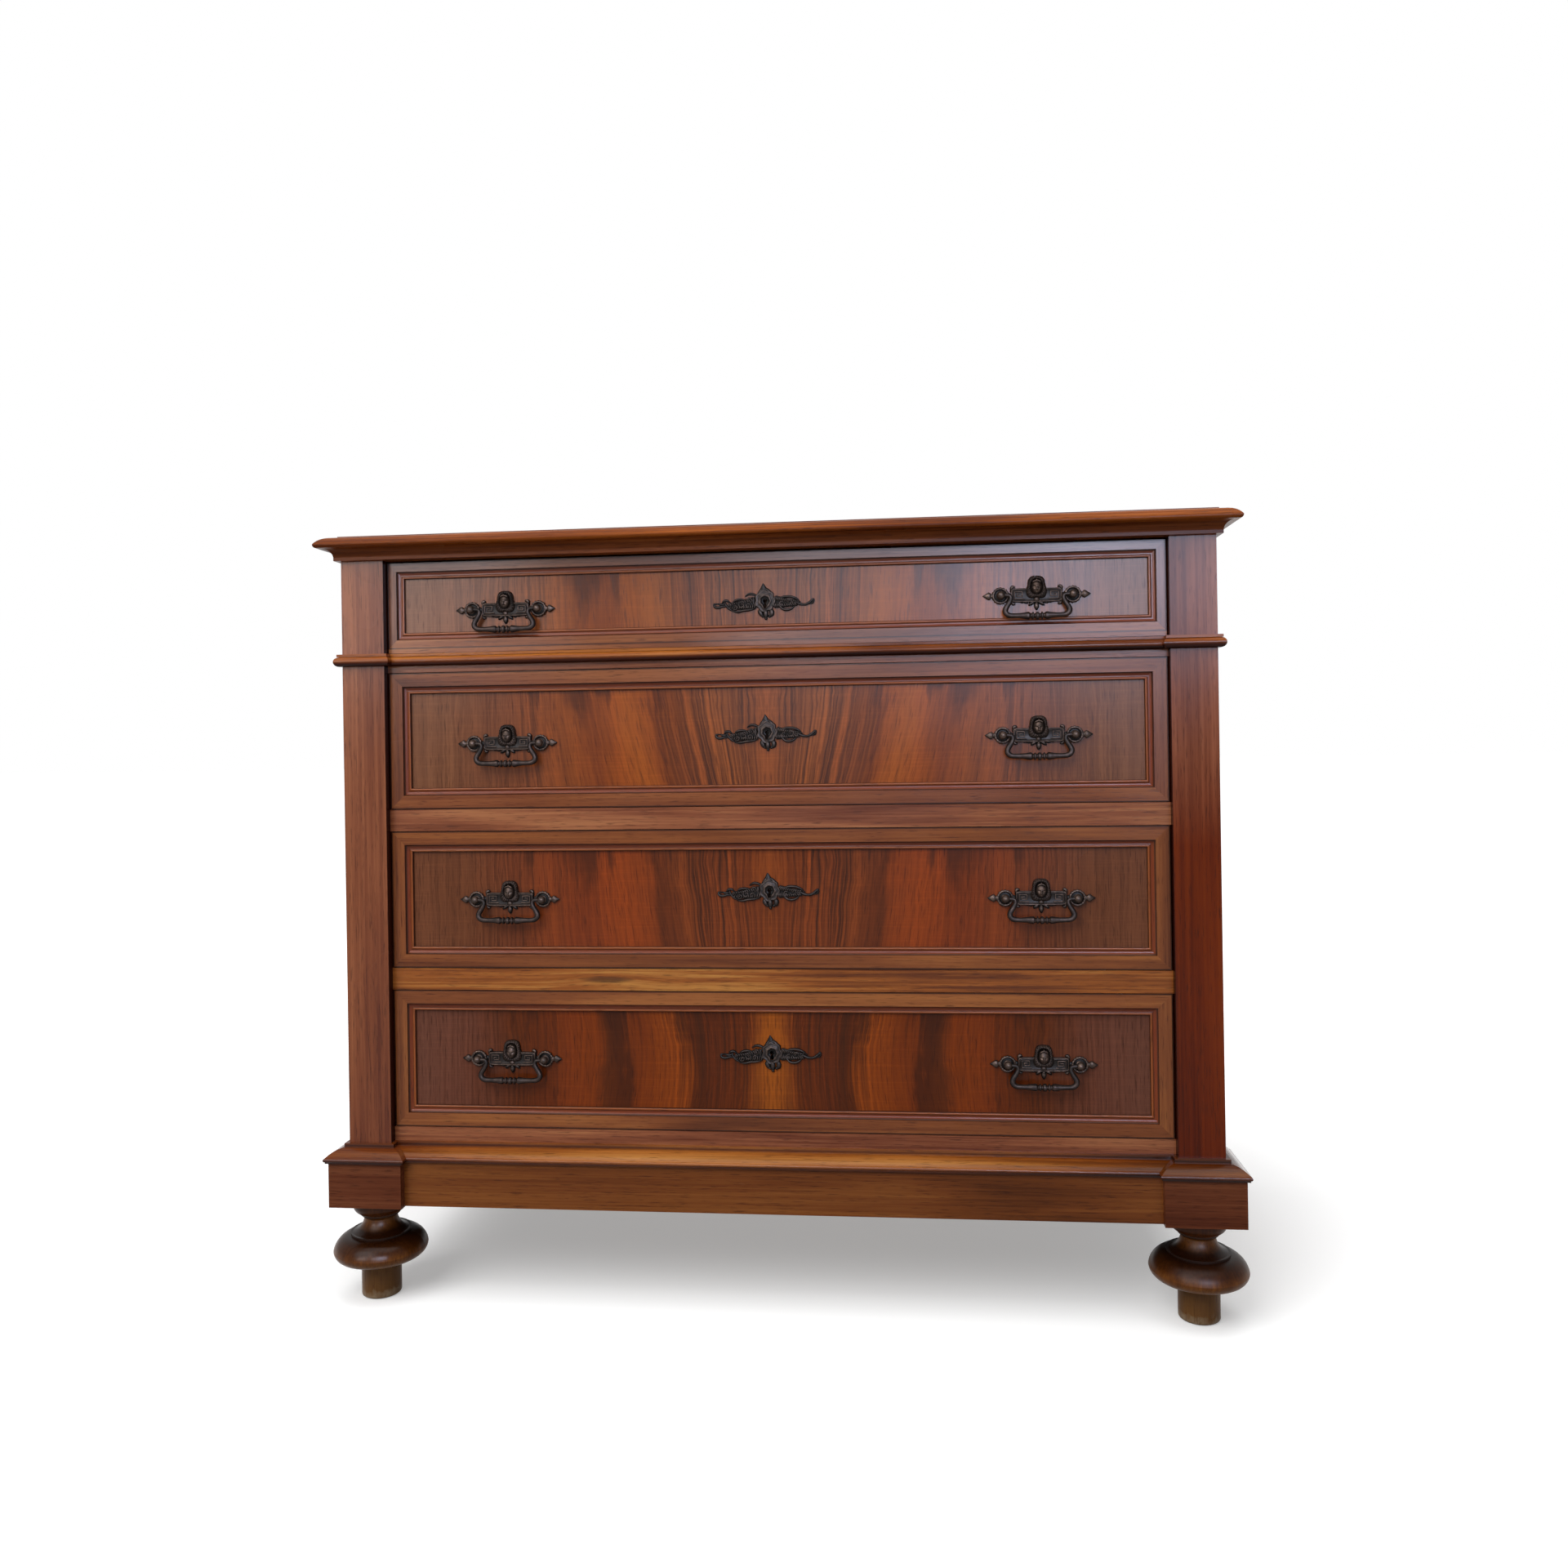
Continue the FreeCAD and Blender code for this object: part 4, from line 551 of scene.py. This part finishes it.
def surface(name, grids, material):
    """One mesh from grids of points, rows by columns by three. Neighbouring points make quads, equal
    points are merged, so seams and poles close, and the faces are turned outwards."""
    points, faces, count = [], [], 0
    for grid in grids:
        index = count + np.arange(grid.shape[0] * grid.shape[1]).reshape(grid.shape[:2])
        ring = [index[:-1, :-1], index[1:, :-1], index[1:, 1:], index[:-1, 1:]]
        faces.append(np.stack(ring, -1).reshape(-1, 4))
        points.append(grid.reshape(-1, 3))
        count += index.size
    mesh = bpy.data.meshes.new(name)
    mesh.from_pydata(np.concatenate(points).tolist(), [], np.concatenate(faces).tolist())
    work = bmesh.new()
    work.from_mesh(mesh)
    bmesh.ops.remove_doubles(work, verts=work.verts, dist=2e-6)
    bmesh.ops.recalc_face_normals(work, faces=work.faces)
    work.to_mesh(mesh)
    work.free()
    mesh.shade_smooth()
    piece = bpy.data.objects.new(name, mesh)
    bpy.context.scene.collection.objects.link(piece)
    mesh.materials.append(material)
    return piece


def lathe(profile, middle, axis, sides=32, squash=1.0):
    """A profile of (place along the axis, radius) pairs swung round an axis through middle; squash
    flattens it in depth."""
    place, radius = np.array(profile, float).T
    turn = np.linspace(0, 2 * np.pi, sides + 1)
    run = np.repeat(place[:, None], sides + 1, 1)
    one, two = radius[:, None] * np.cos(turn), radius[:, None] * np.sin(turn)
    parts = {"X": (run, squash * one, two), "Y": (one, run, two), "Z": (one, squash * two, run)}[axis]
    return np.stack(parts, -1) + np.array(middle)


def through(points, count):
    """A smooth curve through points, by cubic pieces whose slope at each point is half the step from the
    point before to the point after; count samples are spread evenly over the pieces."""
    knots = np.array(points, float)
    ends = np.vstack([2 * knots[0] - knots[1], knots, 2 * knots[-1] - knots[-2]])
    spot = np.linspace(0, len(knots) - 1, count)
    piece = np.minimum(spot.astype(int), len(knots) - 2)
    t = (spot - piece)[:, None]
    before, start, end, after = (ends[piece + step] for step in range(4))
    slope_in, slope_out = (end - before) / 2, (after - start) / 2
    bend = 3 * (end - start) - 2 * slope_in - slope_out
    twist = 2 * (start - end) + slope_in + slope_out
    return start + slope_in * t + bend * t ** 2 + twist * t ** 3


def wand(path, wide, deep, base, sides=14):
    """A round or flattened rod along a curve in the drawer's plane: at each point of the path (x, z) an
    ellipse of half width wide and half depth deep stands across it. Its middle lies at depth base."""
    path = np.asarray(path, float)
    step = np.gradient(path, axis=0)
    step /= np.linalg.norm(step, axis=1, keepdims=True)
    turn = np.linspace(0, 2 * np.pi, sides + 1)
    wide, deep = (np.broadcast_to(size, len(path))[:, None] for size in (wide, deep))
    x = path[:, :1] - step[:, 1:] * wide * np.cos(turn)
    z = path[:, 1:] + step[:, :1] * wide * np.cos(turn)
    y = np.broadcast_to(base, len(path))[:, None] + deep * np.sin(turn)
    return np.stack([x, y, z], -1)


def taper(count, width, start=0.0, end=0.0, power=0.5):
    """Widths that swell from start to full width and sink to end, as shares of width."""
    t = np.linspace(0, 1, count)
    swell = (4 * t * (1 - t)) ** power
    return width * np.maximum(swell, np.maximum(start * (1 - t), end * t))


def knob(x, z, wide, high, deep, base=0.0):
    """A whole ellipsoid, half sunk into what is behind it."""
    tilt = np.linspace(-np.pi / 2, np.pi / 2, 15)[:, None]
    turn = np.linspace(0, 2 * np.pi, 21)[None, :]
    return np.stack([x + wide * np.cos(tilt) * np.cos(turn), base - deep * np.cos(tilt) * np.sin(turn),
                     z + high * np.sin(tilt) + 0 * turn], -1)


def fretted_bar():
    """The bar: a rounded rectangle drawn in by steps from its edge; the height over the drawer follows
    the step: a rounded outer edge, a bead, a second thin bead and a flat ground."""
    half_long, half_high = 31.5, 8.9
    inset = np.array([0, 0, 0.15, 0.6, 1.0, 1.4, 1.8, 2.2, 2.5, 2.8, 3.1, 3.6, half_high])
    level = np.array([0, 1.6, 2.6, 3.3, 3.5, 3.3, 2.5, 2.2, 2.7, 2.7, 2.1, 1.9, 1.9])
    turn = np.linspace(0, 2 * np.pi, 97)
    square = [np.sign(side) * np.abs(side) ** 0.22 for side in (np.cos(turn), np.sin(turn))]
    x = (half_long - inset[:, None]) * square[0]
    z = (half_high - inset[:, None]) * square[1]
    return np.stack([x, np.repeat(-level[:, None], turn.size, 1), z], -1)


def calm_face():
    """A plain face of general proportions: half an ellipsoid, with the brow, the eyes at half the head's
    height, the nose a third above the chin, lips, cheeks and chin raised or sunk by soft bell curves."""
    tilt = np.linspace(-np.pi / 2, np.pi / 2, 61)[:, None]
    turn = np.linspace(0, 2 * np.pi, 81)[None, :]
    across, up = np.cos(tilt) * np.cos(turn), np.sin(tilt) + 0 * turn
    front = np.cos(tilt) * np.sin(turn)

    def bell(x, z, wide, high, rise):
        """A bell curve of the distance from a point, drawn out across and up."""
        return rise * (np.exp(-((across - x) / wide) ** 2 - ((up - z) / high) ** 2))

    raised = bell(0, -0.2, 0.13, 0.26, 2.2) + bell(0, -0.4, 0.17, 0.1, 1.5) + bell(0, -0.92, 0.3, 0.14, 1.3)
    for side in (-1, 1):
        raised = raised + bell(0.36 * side, 0.13, 0.28, 0.08, 1.3) + bell(0.36 * side, -0.02, 0.2, 0.1, -1.8)
        raised = raised + bell(0.36 * side, -0.03, 0.11, 0.05, 1.2) + bell(0.5 * side, -0.34, 0.22, 0.2, 0.8)
        raised = raised + bell(0.13 * side, -0.43, 0.07, 0.05, 0.3)
    raised = raised + bell(0, -0.6, 0.22, 0.045, 1.2) + bell(0, -0.7, 0.2, 0.05, 1.2)
    raised = raised - bell(0, -0.65, 0.24, 0.02, 0.7)
    forward = np.clip(front, 0, 1)
    return np.stack([7.0 * across, -2.6 - 7.6 * front - raised * forward, 9.6 + 9.4 * up], -1)


def striped_hood():
    """The head cloth: a ring between the face and an outline that is broad at the shoulders and rounded at
    the crown, walked round by angle. Its height climbs steeply from the edge, and a cosine of the angle
    ribs it."""
    turn = np.linspace(0, 2 * np.pi, 289)
    side, up = np.cos(turn), np.sin(turn)
    face_edge = 1 / np.hypot(side / 6.4, up / 8.8)
    crown = 1 / (np.abs(side / 11.0) ** 3 + np.abs(up / 13.6) ** 3) ** (1 / 3)
    edge = crown * (1 + 0.34 * np.clip(0.2 - up, 0, 1) * np.abs(side))
    share = np.array([0, 0, 0.12, 0.3, 0.5, 0.7, 0.86, 0.96, 1.0, 1.0, 0])
    level = np.array([0, 2.4, 4.4, 5.6, 5.8, 5.2, 4.2, 2.8, 1.4, 0, 0])
    ribs = 0.7 * np.cos(26 * turn) * np.sin(np.pi * share)[:, None]
    reach = face_edge + share[:, None] * (edge - face_edge)
    return np.stack([reach * side, -level[:, None] - ribs, 10.6 + reach * up], -1)


def handle_casting():
    """All of one plate in millimetres, round the middle of the bail's axis, with the drawer face at y = 0.
    Fret, scrolls, leaves and pendant are rods along curves. Each ring is a rod round a circle, notched by a
    cosine of the angle, and ball posts, buds and nuts are turned."""
    post = 44.25
    key = np.array([(14.8, -4.4), (27.0, -4.4), (27.0, 4.4), (17.4, 4.4), (17.4, -1.4), (24, -1.4),
                    (24, 1.6), (20.4, 1.6)])
    fret = np.concatenate([np.linspace(a, b, 9)[:-1] for a, b in zip(key[:-1], key[1:])] + [key[-1:]])
    curl = np.linspace(0, 1, 34)
    swing, radius = 4.6 * curl, 2.6 - 1.3 * curl
    scroll = np.stack([28.4 + radius * np.sin(swing), 9.0 - radius * np.cos(swing)], -1)
    around = np.linspace(0, 2 * np.pi, 129)
    ring_path = 8.8 * np.stack([np.cos(around), np.sin(around)], -1)
    notches = 0.4 * np.cos(16 * around)
    boss = [(0.0, 0.0), (0.0, 5.0), (-2.4, 5.4), (-3.2, 4.6), (-3.6, 3.2), (-5.2, 3.0), (-6.2, 3.9),
            (-7.4, 4.9), (-9.5, 5.25), (-11.6, 4.8), (-13.2, 3.6), (-14.2, 2.0), (-14.6, 0.0)]
    bud = [(52.6, 0.0), (52.8, 2.7), (53.8, 3.7), (54.9, 3.1), (55.5, 2.6), (56.2, 3.3), (57.6, 4.6),
           (59.4, 4.7), (61.2, 3.7), (63.2, 2.3), (65.2, 1.1), (66.6, 0.0)]
    nut = [(20.0, 0.0), (20.0, 5.0), (24.0, 5.0), (24.0, 2.0), (24.0, 0.0)]
    lobes = [(0, -5.2, 4.2, 4.0, 4.6), (0, -10.4, 2.6, 2.4, 3.6)]
    for side in (-1, 1):
        lobes += [(12.6 * side, -9.0, 3.0, 1.7, 2.2), (17.4 * side, -8.6, 2.2, 1.4, 2.0)]
        lobes += [(30.5 * side, 5.8, 2.0, 2.4, 2.2), (30.5 * side, -5.8, 2.0, 2.4, 2.2)]
        lobes += [(33.4 * side, 0, 2.6, 3.6, 2.0)]
    parts = [fretted_bar(), calm_face(), striped_hood()] + [knob(*lobe) for lobe in lobes]
    band = through([(-5.0, 15.2), (-3.0, 16.9), (0, 17.5), (3.0, 16.9), (5.0, 15.2)], 25)
    parts.append(wand(band, taper(25, 1.0, power=0.3), taper(25, 1.3, power=0.3), -8.0))
    parts.append(knob(0, 17.9, 1.4, 1.7, 1.6, -8.2))
    drop = through([(0, -7.6), (0, -13), (0, -18.9)], 24)
    parts.append(wand(drop, taper(24, 3.3, 0.8, 0.05, 0.7), taper(24, 2.8, 0.8, 0.3, 0.5), -0.5))
    leaf = through([(1.6, -8.2), (6, -9.8), (9.8, -13)], 24)
    for side in (-1, 1):
        flip = np.array([side, 1.0])
        parts.append(wand(fret * flip, 0.8, 1.5, -2.0, 8))
        parts.append(wand(scroll * flip, taper(34, 2.1, 0.9), taper(34, 2.2, 0.9), -1.2))
        parts.append(wand(scroll * (0.98 * side, -1), taper(34, 1.7, 0.9), taper(34, 2.0, 0.9), -1.0))
        parts.append(wand(leaf * flip, taper(24, 2.5, 0.8, 0.1, 0.6), taper(24, 2.5, 0.8, 0.3, 0.5), -0.4))
        parts.append(wand(ring_path * flip + (post * side, 0), 1.75 + notches, 2.1, -1.9))
        parts.append(knob(post * side, 0, 9.2, 9.2, 1.5))
        parts.append(lathe(boss, (post * side, 0, 0), "Y"))
        parts.append(lathe(bud, (0, -1.4, 0), "X", 20, 0.62) * (side, 1, 1))
        parts.append(lathe(nut, (post * side, 0, 0), "Y", 6))
    return [part / 1000 for part in parts]


hinge_of = {joint["name"]: joint.get("pos_m") for joint in frame["joints"]}
casting = handle_casting()
for word in figures:
    grids = []
    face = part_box(f"drawer_{word}_front")[0][1]
    for hand in ("left", "right"):
        hinge = hinge_of[f"drawer_{word}_bail_{hand}_swing"]
        grids += [grid + np.array([hinge[0], face, hinge[2]]) for grid in casting]
    plates = surface(f"drawer_{word}_cast_plates", grids, bronze)
    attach(plates, f"drawer_{word}")
    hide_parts(f"drawer_{word}_handle_plates")


# Bails
# Cast bronze swing handles sprung into the ball posts: plain legs, and a grip with a bead and two rings at
# its middle between two leaf swellings.
def bail_casting():
    """One bail in millimetres round its axis: a smooth curve from pin to pin, with legs that bow outwards.
    The rod's radius follows the distance along the curve from the middle of the grip: a bead, a neck, a ring,
    a neck, a leaf swelling that sinks to the plain rod, stout lower corners, slender legs and thin pins. The
    rod leans forward by the square of the drop, and a cosine of the turn gives the leaf six shallow lobes."""
    drop, forward_lean = 26.5, 1.2
    half = [(46.8, 0), (39, 0), (33.6, -0.9), (32.2, -4.8), (34.6, -10.4), (37.8, -15.4), (39.2, -19.4),
            (38, -23), (34.2, -25.4), (28, -26), (18, -26.1), (8, -26.4), (0, -drop)]
    line = through(half + [(-x, z) for x, z in half[-2::-1]], 241)
    step = np.linalg.norm(np.diff(line, axis=0), axis=1)
    gone = np.concatenate([[0], np.cumsum(step)])
    even = np.linspace(0, gone[-1], 401)
    path = np.stack([np.interp(even, gone, line[:, side]) for side in (0, 1)], -1)
    off = np.abs(even - gone[-1] / 2)
    marks = [0, 1.8, 2.6, 4, 4.8, 6.4, 7.2, 8.4, 10.4, 13, 17, 22, 28, 35, 41, 47, 54, 58, 62, 66, 75]
    sizes = [4.8, 4.6, 2.8, 2.8, 4.6, 4.6, 2.9, 3.1, 4.6, 4.5, 3.8, 3.2, 3.0, 3.3, 3.5, 3.3, 3.0, 2.7, 2.4,
             2.2, 2.0]
    radius = np.interp(off, marks, sizes)
    radius[[0, -1]] = 0
    forward = -forward_lean * (path[:, 1] / drop) ** 2
    rod = wand(path, radius, radius, forward, 24)
    middle = np.stack([path[:, 0], forward, path[:, 1]], -1)[:, None]
    turn = np.linspace(0, 2 * np.pi, 25)
    leaf_place, leaf_spread, lobe_depth = 11, 4, 0.05
    leaf = np.exp(-((off - leaf_place) / leaf_spread) ** 2)[:, None] * lobe_depth * np.cos(6 * turn)
    return (middle + (rod - middle) * (1 + leaf)[..., None]) / 1000


handled_bronze = cast_bronze("handled_cast_bronze", [(0.3, "#110d0b"), (0.7, "#1e1613"), (1.0, "#2a1f1b")])
bail_grid = bail_casting()
for word in figures:
    for hand in ("left", "right"):
        body = f"drawer_{word}_bail_{hand}"
        bail = surface(f"{body}_cast", [bail_grid + np.array(hinge_of[f"{body}_swing"])], handled_bronze)
        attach(bail, body)
        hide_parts(body)


# Keyhole plates
# Openwork bronze castings: a shield round the keyhole under a pointed leaf, with lobed drops and leafy
# scroll arms, pinned to the veneer.
def keyhole_shield():
    """A ring between the keyhole and the shield's edge, walked round by angle. Its section starts low at
    the keyhole, climbs a raised frame, dips, and rounds off at the lobed edge; the back lies on the
    drawer."""
    turn = np.linspace(0, 2 * np.pi, 361)
    side, down = np.abs(np.cos(turn)), np.clip(-np.sin(turn), 1e-6, None)
    slot = np.minimum(1.35 / np.maximum(side, 1e-6), 9.0 / down)
    hole = np.where(np.sin(turn) < 0, np.maximum(2.6, slot), 2.6)
    oval = 1 / np.hypot(np.cos(turn) / 13.2, np.sin(turn) / 14.0)
    edge = oval * (1 + 0.07 * np.cos(7 * turn + 0.5))
    share = np.array([0, 0, 0.08, 0.2, 0.3, 0.38, 0.48, 0.6, 0.74, 0.86, 0.95, 1.0, 1.0, 0])
    level = np.array([0, 0.9, 1.0, 1.3, 3.3, 3.9, 3.2, 2.3, 2.5, 3.2, 2.6, 1.3, 0, 0])
    reach = hole + share[:, None] * (edge - hole)
    height = np.repeat(-level[:, None], turn.size, 1)
    return np.stack([reach * np.cos(turn), height, reach * np.sin(turn)], -1)


def keyhole_casting():
    """All of one keyhole plate in millimetres round the keyhole, with the drawer face at y = 0. Each leaf is
    a rod along a curve through a few points, flattened to its greatest half width and height; a curl is a
    rod along a spiral that closes in from its radius to a quarter of it; a flat web lies behind each arm, and
    pairs of small leaflets lean forwards from its middle line. The crest is a pointed leaf."""
    leaves = [
        (((-10, 6), (-7.4, 10), (-5, 13.4), (-3, 16)), 2.2, 2.5),
        (((10, 5), (7.4, 9.4), (4, 13), (0.5, 16)), 2.4, 2.5),
        (((-9, 5), (-14, 8.4), (-20, 9.4), (-25, 6.8)), 1.7, 2.6),
        (((-11, -8), (-14.5, -3), (-15, 2), (-12.6, 5.4)), 1.8, 2.5),
        (((-12, -9), (-20, -11), (-28, -11.6), (-35, -13.2), (-41, -12.6)), 1.7, 2.6),
        (((-24, 1), (-31, 2.6), (-38, 1.6), (-42, -2)), 1.6, 2.5),
        (((-41, -12), (-46, -9), (-50, -4.6), (-51.6, 0.4)), 1.7, 2.3),
        (((-45, -1), (-49, 1.6), (-53, 1), (-55.6, -2)), 1.7, 2.2),
        (((-48, -6.4), (-54, -5.6), (-60, -7), (-64.6, -6), (-65.6, -2.8), (-62.4, -2.2)), 1.8, 2.0),
        (((-51, -2.6), (-56, -3.4), (-60.4, -2.2)), 1.7, 1.9),
        (((10, 4), (18, 3.2), (25, 4.8), (33, 4.6), (40, 2), (44.4, -2)), 1.7, 2.5),
        (((12, -5), (17, -5.4), (22, -10.4), (27, -12), (33, -10.8), (38, -7)), 1.8, 2.6),
        (((35, 1.6), (40.6, -3), (46, -5.4), (51, -5.6)), 1.9, 2.3),
        (((40, -3.6), (47, -5.4), (52, -5.6), (57, -3), (61.4, 0.6), (61, -3.4), (56.4, -5)), 1.7, 2.0),
        (((-5, -10), (-6.6, -13.4), (-5, -17), (-3, -19.6)), 3.0, 2.5),
        (((5, -10), (8, -13.4), (8, -17), (5.4, -19.6)), 3.4, 2.5),
        (((0.4, -11), (0.6, -16), (0.8, -22.4)), 3.4, 2.7),
    ]
    curls = [(-20.4, 1.2, 4.4, 3.6), (-30, -4.4, 5.0, 0.4), (-38.4, -7.4, 3.9, 2.2), (-22, -6.2, 3.6, 5.0),
             (-46, -4.6, 2.9, 4.0), (30.4, -1.4, 5.0, 2.6), (21, -4.2, 3.6, 5.6), (37.6, -3.6, 3.0, 0.8)]
    webs = [((-10, -2), (-22, -3.6), (-34, -5), (-47, -5.4)), ((9, -1), (18, -2), (29, -3), (41, -3.2))]
    crest = through([(-0.6, 7), (-1.6, 13), (-2.4, 22.6)], 24)
    parts = [keyhole_shield(), wand(crest, np.linspace(12.5, 0.3, 24), np.linspace(2.9, 0.9, 24), -0.4, 14)]
    for line in webs:
        rib = through(line, 40)
        parts.append(wand(rib, taper(40, 5.0, 0.8, 0.5, 0.4), 1.0, 0.0, 14))
        ahead = np.gradient(rib, axis=0)
        ahead /= np.linalg.norm(ahead, axis=1, keepdims=True)
        for spot in range(3, 38, 3):
            root, lean = rib[spot], ahead[spot]
            for side in (-1, 1):
                out = side * lean[::-1] * (-1, 1) * (8.4 - 0.13 * spot)
                leaflet = through([root, root + 0.6 * out + lean, root + out + 3.2 * lean], 12)
                wide, deep = taper(12, 1.5, 0.6, 0.4, 0.4), taper(12, 2.8, 0.6, 0.6, 0.4)
                parts.append(wand(leaflet, wide, deep, -0.3, 10))
    for line, width, height in leaves:
        path = through(line, 48)
        parts.append(wand(path, taper(48, width, 0.5, 0.4, 0.45), taper(48, height, 0.5, 0.6, 0.4), -0.4, 14))
        parts.append(knob(*path[-1], 0.6 * width, 0.6 * width, 0.9 * height))
    gone = np.linspace(0, 1, 56)
    for x, z, radius, start in curls:
        turn = start + 8.4 * gone
        spiral = (radius * (1 - 0.75 * gone))[:, None] * np.stack([np.cos(turn), np.sin(turn)], -1) + (x, z)
        parts.append(wand(spiral, taper(56, 1.25, 0.6, 0.9, 0.4), taper(56, 2.6, 0.6, 0.9, 0.4), -0.6, 12))
        parts.append(knob(x, z, 1.5, 1.5, 3.3))
    return [part / 1000 for part in parts]


# Near black in the hollows; lighter on the raised leaves and frame, partly rubbed bronze and partly painted
# highlight.
keyhole_bronze = cast_bronze("keyhole_cast_bronze", [(0.0, "#040303"), (0.1, "#0a0807"), (0.17, "#1e1714"),
                                                     (0.23, "#392d27")])
keyhole_grids = keyhole_casting()
for word in figures:
    low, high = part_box(f"drawer_{word}_escutcheon")
    middle = np.array([(low[0] + high[0]) / 2, high[1], (low[2] + high[2]) / 2])
    grids = [grid + middle for grid in keyhole_grids]
    shield = surface(f"drawer_{word}_keyhole_plate", grids, keyhole_bronze)
    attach(shield, f"drawer_{word}")
    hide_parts(f"drawer_{word}_escutcheon")


# Floor, light and camera
# A matt white floor in a white room, a broad lamp above in front and another overhead, three window-like
# panels far in front, whose glow lies on the polish, and a camera at the height of the upper drawers.
def looked_at(tree):
    """One for rays from the eye, from a reflection or through something clear, and none for the others."""
    path = add(tree, "LightPath")
    seen = add(tree, "Math", {0: path["Is Camera Ray"], 1: path["Is Glossy Ray"]}, operation="MAXIMUM")[0]
    return add(tree, "Math", {0: seen, 1: path["Is Transmission Ray"]}, operation="MAXIMUM")[0]


def pale_floor():
    """Matt white paint: lit as any surface, and lifted for the eye and for reflections, so that it goes
    white away from the chest and stays grey in the chest's shadow. Little of its light falls back."""
    material, tree = blank_material("matt_white_floor")
    seen = looked_at(tree)
    shade = add(tree, "Mix", {0: seen, 6: linear("#8c8c8c"), 7: linear("#dedede")}, data_type="RGBA")[2]
    paint = add(tree, "BsdfDiffuse", {"Color": shade})[0]
    away = add(tree, "VectorMath", {0: add(tree, "TexCoord")["Object"]}, operation="LENGTH")["Value"]
    near, far, lift_near, lift_far = 0.62, 1.5, 0.33, 1.0
    lift = add(tree, "MapRange", {"Value": away, "From Min": near, "From Max": far, "To Min": lift_near,
                                  "To Max": lift_far})[0]
    share = add(tree, "Math", {0: seen, 1: lift}, operation="MULTIPLY")[0]
    glow = add(tree, "Emission", {"Color": (1, 1, 1, 1), "Strength": share})[0]
    add(tree, "OutputMaterial", {0: add(tree, "AddShader", {0: paint, 1: glow})[0]})
    return material


span, below_feet = 40.0, 0.0005
square = np.linspace(-span, span, 2)
floor_grid = np.stack(np.meshgrid(square, square, [-below_feet], indexing="ij"), -1).reshape(2, 2, 3)
floor = surface("floor", [floor_grid], pale_floor())

world = bpy.data.worlds.new("white_room")
bpy.context.scene.world = world
world.use_nodes = True
air = world.node_tree
air.nodes.clear()
fill_light, seen_white = 0.28, 1.0
level = add(air, "MapRange", {"Value": looked_at(air), "To Min": fill_light, "To Max": seen_white})[0]
add(air, "OutputWorld", {0: add(air, "Background", {"Color": (1, 1, 1, 1), "Strength": level})[0]})


def lamp(name, power, size, place, aim):
    """A soft rectangular lamp that faces a point."""
    light = bpy.data.lights.new(name, "AREA")
    light.shape = "RECTANGLE"
    light.energy = power
    light.size, light.size_y = size
    lit = bpy.data.objects.new(name, light)
    bpy.context.scene.collection.objects.link(lit)
    towards = Vector(aim) - Vector(place)
    lit.matrix_world = Matrix.Translation(place) @ towards.to_track_quat("-Z", "Y").to_matrix().to_4x4()
    return lit


lamp("key_lamp", 112.0, (3.0, 2.0), (-1.6, -2.8, 2.9), (0, 0, 0.5))
lamp("ceiling_lamp", 112.0, (4.0, 3.0), (0, -0.9, 3.6), (0, -0.9, 0))
for name, power, size, place, colour in (("left_window", 135.0, (1.9, 1.5), (-2.55, -4.3, 1.85), "#f8faff"),
                                         ("middle_window", 60.0, (0.7, 1.5), (-0.3, -4.3, 1.75), "#f0f2ff"),
                                         ("right_window", 320.0, (1.8, 1.6), (1.2, -4.3, 1.85), "#cfdfff")):
    glow = lamp(name, power, size, place, (place[0], 0, place[2]))
    glow.visible_diffuse = False
    glow.data.color = linear(colour)[:3]

# The focal length, horizon, place and turn come from a fit to the straight lines of the photographed chest.
focal_pixels, image_pixels, horizon_row = 1514.3, 1920, 908.85
camera_place, yaw, roll = (0.1829, -1.78343, 0.71869), 0.10293, 0.0155
sensor = 36.0
view = bpy.data.cameras.new("camera")
view.sensor_width = sensor
view.lens = sensor * focal_pixels / image_pixels
view.shift_y = (horizon_row - image_pixels / 2) / image_pixels
view.clip_end = 200.0
camera = bpy.data.objects.new("camera", view)
bpy.context.scene.collection.objects.link(camera)
camera.matrix_world = (Matrix.Translation(camera_place) @ Matrix.Rotation(yaw, 4, "Z")
                       @ Matrix.Rotation(np.pi / 2, 4, "X") @ Matrix.Rotation(-roll, 4, "Z"))
bpy.context.scene.camera = camera
bpy.context.scene.view_settings.view_transform = "Standard"
